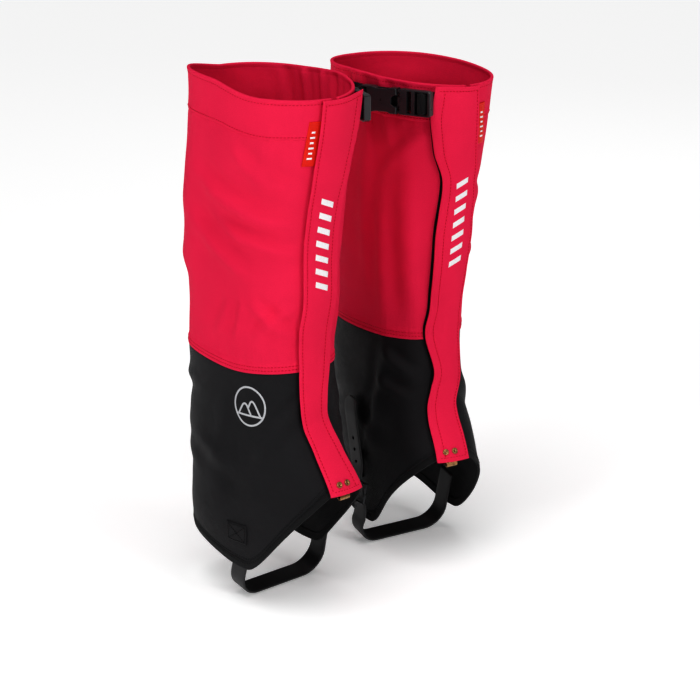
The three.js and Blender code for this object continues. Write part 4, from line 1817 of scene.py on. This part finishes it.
@dataclass
class FootStrap:
    """Rubber strap under the boot, its wire buckle and its holed tail on the inner side."""

    bench: Bench
    shorter: float = 0.0
    width: float = 20.0
    thick: float = 2.6
    lean: float = 15.0
    bow: float = 22.0
    axis_forward: float = -8.0
    axis_height: float = 66.0
    grip_forward: float = -13.0
    grip_top: float = 84.2
    tail_top: float = 168.0
    tab: tuple = (-100.0, -86.0, 83.4, 112.0)
    holes: tuple = (90.0, 102.0, 114.0, 126.0)

    def _loop(self) -> tuple:
        """Middle line and width direction of the strap, from the outer anchor under the boot to the grip.

        Returns:
            Points of the path and a direction at each of them.
        """
        lean = math.radians(self.lean)
        low = self.width / 2 * math.sin(lean) + 0.2
        reach = (self.axis_height - self.shorter - low) / math.cos(lean) - self.thick / 2
        plane = [(46.2, 10), (46.2, -12), (46, -reach + 30)]
        for x, start in ((24, 0), (-36, -90)):
            turn = np.radians(np.linspace(start, start - 90, 12))
            plane += [(x + self.bow * math.cos(t), self.bow - reach + self.bow * math.sin(t)) for t in turn]
        plane += [(-56.8, -24), (-56.9, -13)]
        p = np.array(plane)
        loop = np.stack(
            [p[:, 0], self.axis_forward + p[:, 1] * math.sin(lean), self.axis_height + p[:, 1] * math.cos(lean)], -1
        )
        grip = np.array([(-56.9, 57.6), (-57.4, 62), (-58.6, 68), (-60, 75), (-60.9, 80), (-61, self.grip_top)])
        up = np.stack([grip[:, 0], np.full(6, self.grip_forward), grip[:, 1]], -1)
        path = resampled(np.concatenate([loop, up]), 2.0)
        tilt = math.radians(self.lean) * (1 - ramp(path[:, 2], 40, 62))
        tilt = np.where(path[:, 0] > 0, math.radians(self.lean), tilt)
        across = np.stack([0 * tilt, np.cos(tilt), -np.sin(tilt)], -1)
        return path, across

    def _inner(self, z: Array) -> Array:
        """L of the cloth on the inner side."""
        form = self.bench.shell.form
        return form.points(np.radians(np.full(z.shape, -96.0)), z)[..., 0]

    def build(self) -> None:
        """Strap, tail with its holes, buckle and tab."""
        path, across = self._loop()
        t = directions(path)
        across = unit(across - t * (across * t).sum(1, keepdims=True))
        band = tube(path, across, np.cross(t, across), rounded(self.width, self.thick))
        between = ((0, 0, 58), (0, 0, 50))
        self.bench.bent("strap_loop", band, Finish.RUBBER, "strap", between, ["foot_strap", "strap_grip"])
        self._tail()
        self.bench.fitting("strap_frame", "wire_frame", Finish.STEEL, 0.2)
        self.bench.fitting("strap_tongue", "wire_tongue", Finish.STEEL, 0.15, "pin")
        self._tab()

    def _tail(self) -> None:
        """Free end of the strap: tapered to a round tip, leaning back, with four round holes."""
        z = np.linspace(self.grip_top + 0.2, self.tail_top, 90)
        lateral = np.minimum(self._inner(z) - 3.4, -57.6)
        lateral = lateral + (-61 - lateral) * (1 - ramp(z, 84, 104))
        lateral = lateral + 1.6 * ramp(z, 150, self.tail_top)
        path = np.stack([lateral, self.grip_forward - (z - 84) * 0.24, z], -1)
        t = directions(path)
        across = unit(np.array([0, 1.0, 0]) - t * t[:, 1:2])
        near = np.clip((self.tail_top - z) / 9.0, 0, 1)
        narrow = np.sqrt(np.clip(1 - (1 - near) ** 2, 0.03, 1))
        profile = np.stack([rounded(max(self.width * w, self.thick * 1.05), self.thick) for w in narrow])
        band = tube(path, across, np.cross(t, across), profile)
        drill = []
        for height in self.holes:
            k = int(np.argmin(np.abs(z - height)))
            drill.append(turned(path[k], np.cross(t[k], across[k]), np.array([(1.8, -9.0), (1.8, 9.0)]), 20))
        between = ((0, 0, 84), (0, 0, 96))
        self.bench.bent("strap_end", band, Finish.RUBBER, "tail", between, ["strap_tail"], Solid.joined(drill))

    def _tab(self) -> None:
        """Webbing tab that carries the wire buckle, and its rivet."""
        shell, form = self.bench.shell, self.bench.shell.form
        left, right, low, high = self.tab
        a, z = np.meshgrid(np.radians(np.linspace(left, right, 18)), edged(low, high, 22, 0.7), indexing="ij")
        near = np.minimum(np.minimum(a - a.min(), a.max() - a) * 48, np.minimum(z - low, high - z))
        solid = shell.sheet(a, z, 0.9 + rolled(near, 0.9), 0.05)
        self.bench.add("buckle_tab", solid, Finish.WEBBING, replaces=["strap_tab"])
        angle, height = np.array(math.radians(-93)), np.array(106.0)
        n = form.normals(angle, height)
        profile = np.array([(0.0, 1.3), (1.6, 1.2), (2.6, 0.85), (3.2, 0.3), (3.2, -0.6)])
        stud = turned(shell.at(angle, height, 1.9), n, profile)
        self.bench.add("tab_stud", stud, Finish.BRASS, replaces=["tab_rivet"])


def carve(piece: bpy.types.Object, cutter: bpy.types.Object) -> None:
    """Cuts one mesh out of another, then discards the cutter.

    Args:
        piece: the object that is cut.
        cutter: the closed object taken away.
    """
    cut = piece.modifiers.new("holes", "BOOLEAN")
    cut.operation = "DIFFERENCE"
    cut.solver = "EXACT"
    cut.object = cutter
    graph = bpy.context.evaluated_depsgraph_get()
    mesh = bpy.data.meshes.new_from_object(piece.evaluated_get(graph))
    piece.modifiers.clear()
    piece.data = mesh
    bpy.data.objects.remove(cutter)
    mesh.polygons.foreach_set("use_smooth", np.full(len(mesh.polygons), True))
    mesh.set_sharp_from_angle(angle=math.radians(40))


# ---------------------------------------------------------------- the pair and its studio


@dataclass
class Gaiter:
    """One whole gaiter, made of its sub-assemblies."""

    shell: Shell
    wardrobe: Wardrobe
    flap_outline: tuple
    # how far the loop tape shows past the flap's free edge; the black strip it shows is painted shade for the shadow
    # in the gap
    gap_shade_reveal: float = -1.5
    shorter: float = 0.0
    hook: float = 0.4

    def build(self) -> None:
        """Builds every sub-assembly in sewing order."""
        bench = Bench(self.shell, self.wardrobe)
        Calf(bench).build()
        Ankle(bench).build()
        FrontFlap(bench, self.flap_outline, self.gap_shade_reveal, self.hook).build()
        CalfBuckle(bench).build()
        FootStrap(bench, self.shorter).build()


@dataclass
class Studio:
    """Camera, lights and floor."""

    target: tuple = (-0.014, -0.0076, 0.288)
    azimuth: float = -43.23
    elevation: float = 15.25
    distance: float = 2.1003
    lens: float = 112.0
    shift: tuple = (0.0044, -0.0845)
    floor_size: float = 60.0
    exposure: float = -0.42
    overhead: float = 1.85
    world: float = 0.1
    lights: tuple = (
        ((-2.3, -0.35, 1.15), 0.6, 14.5),
        ((-0.1, -2.5, 1.2), 0.8, 14.0),
        ((1.6, 0.9, 1.6), 1.6, 2.5),
    )

    def build(self) -> None:
        """Sets the camera, three soft lights, a wide overhead light, a pale world and the floor."""
        self._camera()
        view = bpy.context.scene.view_settings
        view.view_transform, view.look, view.exposure = "Standard", "High Contrast", self.exposure
        sky = bpy.data.lights.new("overhead", "SUN")
        sky.energy, sky.angle = self.overhead, math.radians(50)
        linked("overhead", sky).rotation_euler = (math.radians(12), math.radians(-14), 0)
        for k, (place, size, power) in enumerate(self.lights):
            lamp = bpy.data.lights.new(f"soft_{k}", "AREA")
            lamp.shape, lamp.size, lamp.energy = "DISK", size, power
            obj = linked(lamp.name, lamp)
            obj.location = place
            obj.rotation_euler = (Vector(self.target) - Vector(place)).to_track_quat("-Z", "Y").to_euler()
        world = bpy.context.scene.world or bpy.data.worlds.new("pale")
        bpy.context.scene.world = world
        world.use_nodes = True
        back = world.node_tree.nodes["Background"]
        back.inputs["Color"].default_value = (1.0, 1.0, 1.0, 1.0)
        back.inputs["Strength"].default_value = self.world
        self._floor()
        self._backdrop()

    def _camera(self) -> None:
        """Camera on a sphere round the target, looking at it."""
        a, e = math.radians(self.azimuth), math.radians(self.elevation)
        back = Vector((math.sin(a) * math.cos(e), -math.cos(a) * math.cos(e), math.sin(e)))
        data = bpy.data.cameras.new("camera")
        data.lens, data.sensor_width = self.lens, 36.0
        data.shift_x, data.shift_y = self.shift
        data.clip_end = 60
        camera = linked("camera", data)
        camera.location = Vector(self.target) + back * self.distance
        camera.rotation_euler = (-back).to_track_quat("-Z", "Y").to_euler()
        bpy.context.scene.camera = camera

    def _scenery(self, name: str, points: list, faces: list, **finish: float | tuple) -> bpy.types.Object:
        """A mesh that belongs to the studio, with one plain glowing finish.

        Args:
            name: object name.
            points: its points, in metres.
            faces: its faces.
            finish: shader values, with underscores for spaces.

        Returns:
            The object, kept out of the part.
        """
        mesh = bpy.data.meshes.new(name)
        mesh.from_pydata(points, [], faces)
        scenery = linked(name, mesh)
        mesh.materials.append(Shop("pale_" + name, Emission_Color=(1.0, 1.0, 1.0, 1.0), **finish).material)
        return scenery

    def _floor(self) -> None:
        """Pale floor just under the straps."""
        h, z = self.floor_size / 2, -0.0006
        corners = [(-h, -h, z), (h, -h, z), (h, h, z), (-h, h, z)]
        pale = {"Base_Color": (0.97, 0.97, 0.97, 1.0), "Roughness": 0.8, "Specular_IOR_Level": 0.1}
        self._scenery("floor", corners, [(0, 1, 2, 3)], Emission_Strength=0.22, **pale)

    def _backdrop(self, sides: int = 48) -> None:
        """White cylinder wall far behind the floor's edge; it is seen by the camera and lights nothing.

        Args:
            sides: points round the wall.
        """
        a = np.linspace(0, 2 * np.pi, sides, endpoint=False)
        radius, low, high = self.floor_size * 0.48, -1.0, self.floor_size / 2
        ring = np.stack([radius * np.cos(a), radius * np.sin(a)], -1)
        points = [(x, y, z) for z in (low, high) for x, y in ring] + [(0.0, 0.0, high * 1.2)]
        faces = grid_faces(2, sides, True).tolist()
        faces += [(sides + k, sides + (k + 1) % sides, 2 * sides) for k in range(sides)]
        white = {"Base_Color": (0.0, 0.0, 0.0, 1.0), "Specular_IOR_Level": 0.0}
        wall = self._scenery("backdrop", points, faces, Emission_Strength=1.4, **white)
        for ray in ("diffuse", "glossy", "transmission", "volume_scatter", "shadow"):
            setattr(wall, "visible_" + ray, False)


BACK_FOLDS = (
    Crease((148, 212), (205, 192), 8, 1.7),
    Crease((158, 158), (218, 176), 8, 1.6),
    Crease((140, 132), (196, 150), 9, 1.2),
    Crease((146, 318), (206, 348), 11, 1.5),
    Crease((164, 424), (222, 396), 10, 1.5),
    Crease((176, 268), (226, 290), 8, 1.2),
)
RIGHT_FOLDS = (
    Crease((120, 412), (24, 376), 9, 3.0),
    Crease((92, 372), (24, 350), 7, 2.4),
    Crease((140, 372), (60, 322), 10, 2.6),
    Crease((70, 446), (24, 408), 8, 1.8),
    Crease((36, 470), (48, 400), 7, 1.2),
    Crease((64, 300), (22, 268), 6, 2.0),
    Crease((60, 268), (24, 300), 5, 1.7),
    Crease((86, 262), (72, 300), 6, 1.2),
    Crease((118, 262), (92, 296), 7, 1.2),
    Crease((128, 440), (150, 300), 12, 1.4),
    Crease((-40, 258), (-50, 430), 10, 1.6),
    Crease((-95, 300), (-82, 440), 12, 1.5),
    Crease((26, 196), (64, 150), 8, 1.6),
    Crease((26, 222), (50, 190), 6, 1.0),
    Crease((80, 132), (150, 158), 10, 1.4),
    Crease((100, 210), (120, 100), 12, 1.2),
    Crease((-30, 166), (-70, 190), 8, 1.2),
    Crease((-108, 192), (-12, 192), 26, 3.4),
    *BACK_FOLDS,
)
LEFT_FOLDS = (
    Crease((-28, 262), (-38, 440), 9, 2.4),
    Crease((-58, 250), (-62, 400), 9, 2.0),
    Crease((-92, 300), (-84, 452), 11, 1.8),
    Crease((-24, 452), (-60, 404), 7, 1.6),
    Crease((120, 412), (24, 376), 9, 2.2),
    Crease((92, 340), (24, 320), 7, 1.8),
    Crease((-26, 200), (-60, 226), 6, 1.8),
    Crease((-30, 178), (-66, 196), 6, 1.6),
    Crease((-52, 232), (-72, 120), 9, 2.0),
    Crease((-50, 120), (-110, 158), 10, 1.3),
    Crease((-120, 440), (-140, 300), 12, 1.4),
    Crease((26, 196), (64, 150), 8, 1.6),
    *BACK_FOLDS,
)
RIGHT_FLAP = (
    (121, 19.3, -17.6),
    (137, 18.6, -16.5),
    (177, 16.8, -13.0),
    (196, 15.0, -12.6),
    (235, 18.5, -13.6),
    (274, 19.3, -15.5),
    (304, 17.2, -18.3),
    (318, 17.8, -17.4),
    (357, 21.0, -13.4),
    (392, 22.8, -12.4),
    (427, 23.6, -15.0),
    (459, 23.8, -20.0),
    (501, 25.5, -22.0),
)
LEFT_FLAP = (
    (121, 13.0, -19.5),
    (140, 13.0, -20.0),
    (170, 10.0, -21.6),
    (188, 15.5, -18.0),
    (208, 18.0, -14.6),
    (250, 19.5, -20.0),
    (272, 19.5, -17.4),
    (293, 20.0, -18.6),
    (347, 21.0, -21.4),
    (403, 21.0, -17.0),
    (435, 21.0, -23.7),
    (466, 21.0, -25.2),
    (484, 21.4, -22.8),
    (501, 22.0, -20.0),
)


def main() -> None:
    """Loads the frame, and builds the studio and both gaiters."""
    logging.basicConfig(level=logging.INFO, format="%(message)s")
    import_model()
    Studio().build()
    wardrobe = Wardrobe()
    form = LegForm()
    right = Shell(
        form,
        Drape(form, 5, RIGHT_FOLDS),
        Stance(Side.RIGHT, (-94.0, -7.6, 0.0)),
        rim_rise=(3, 4, 6, -1, -4, -3, 8, 10, 3),
        seam_drop=(3.0, 5.0),
    )
    left = Shell(form, Drape(form, 11, LEFT_FOLDS), Stance(Side.LEFT, (94.0, 7.6, -12.6), -10.4))
    Gaiter(right, wardrobe, RIGHT_FLAP).build()
    # on this gaiter the loop tape shows 0.9 mm past the flap's free edge: a black strip of painted shade for the
    # gap's shadow
    Gaiter(left, wardrobe, LEFT_FLAP, gap_shade_reveal=0.9, shorter=12.6, hook=-10.4).build()


if __name__ == "__main__":
    main()
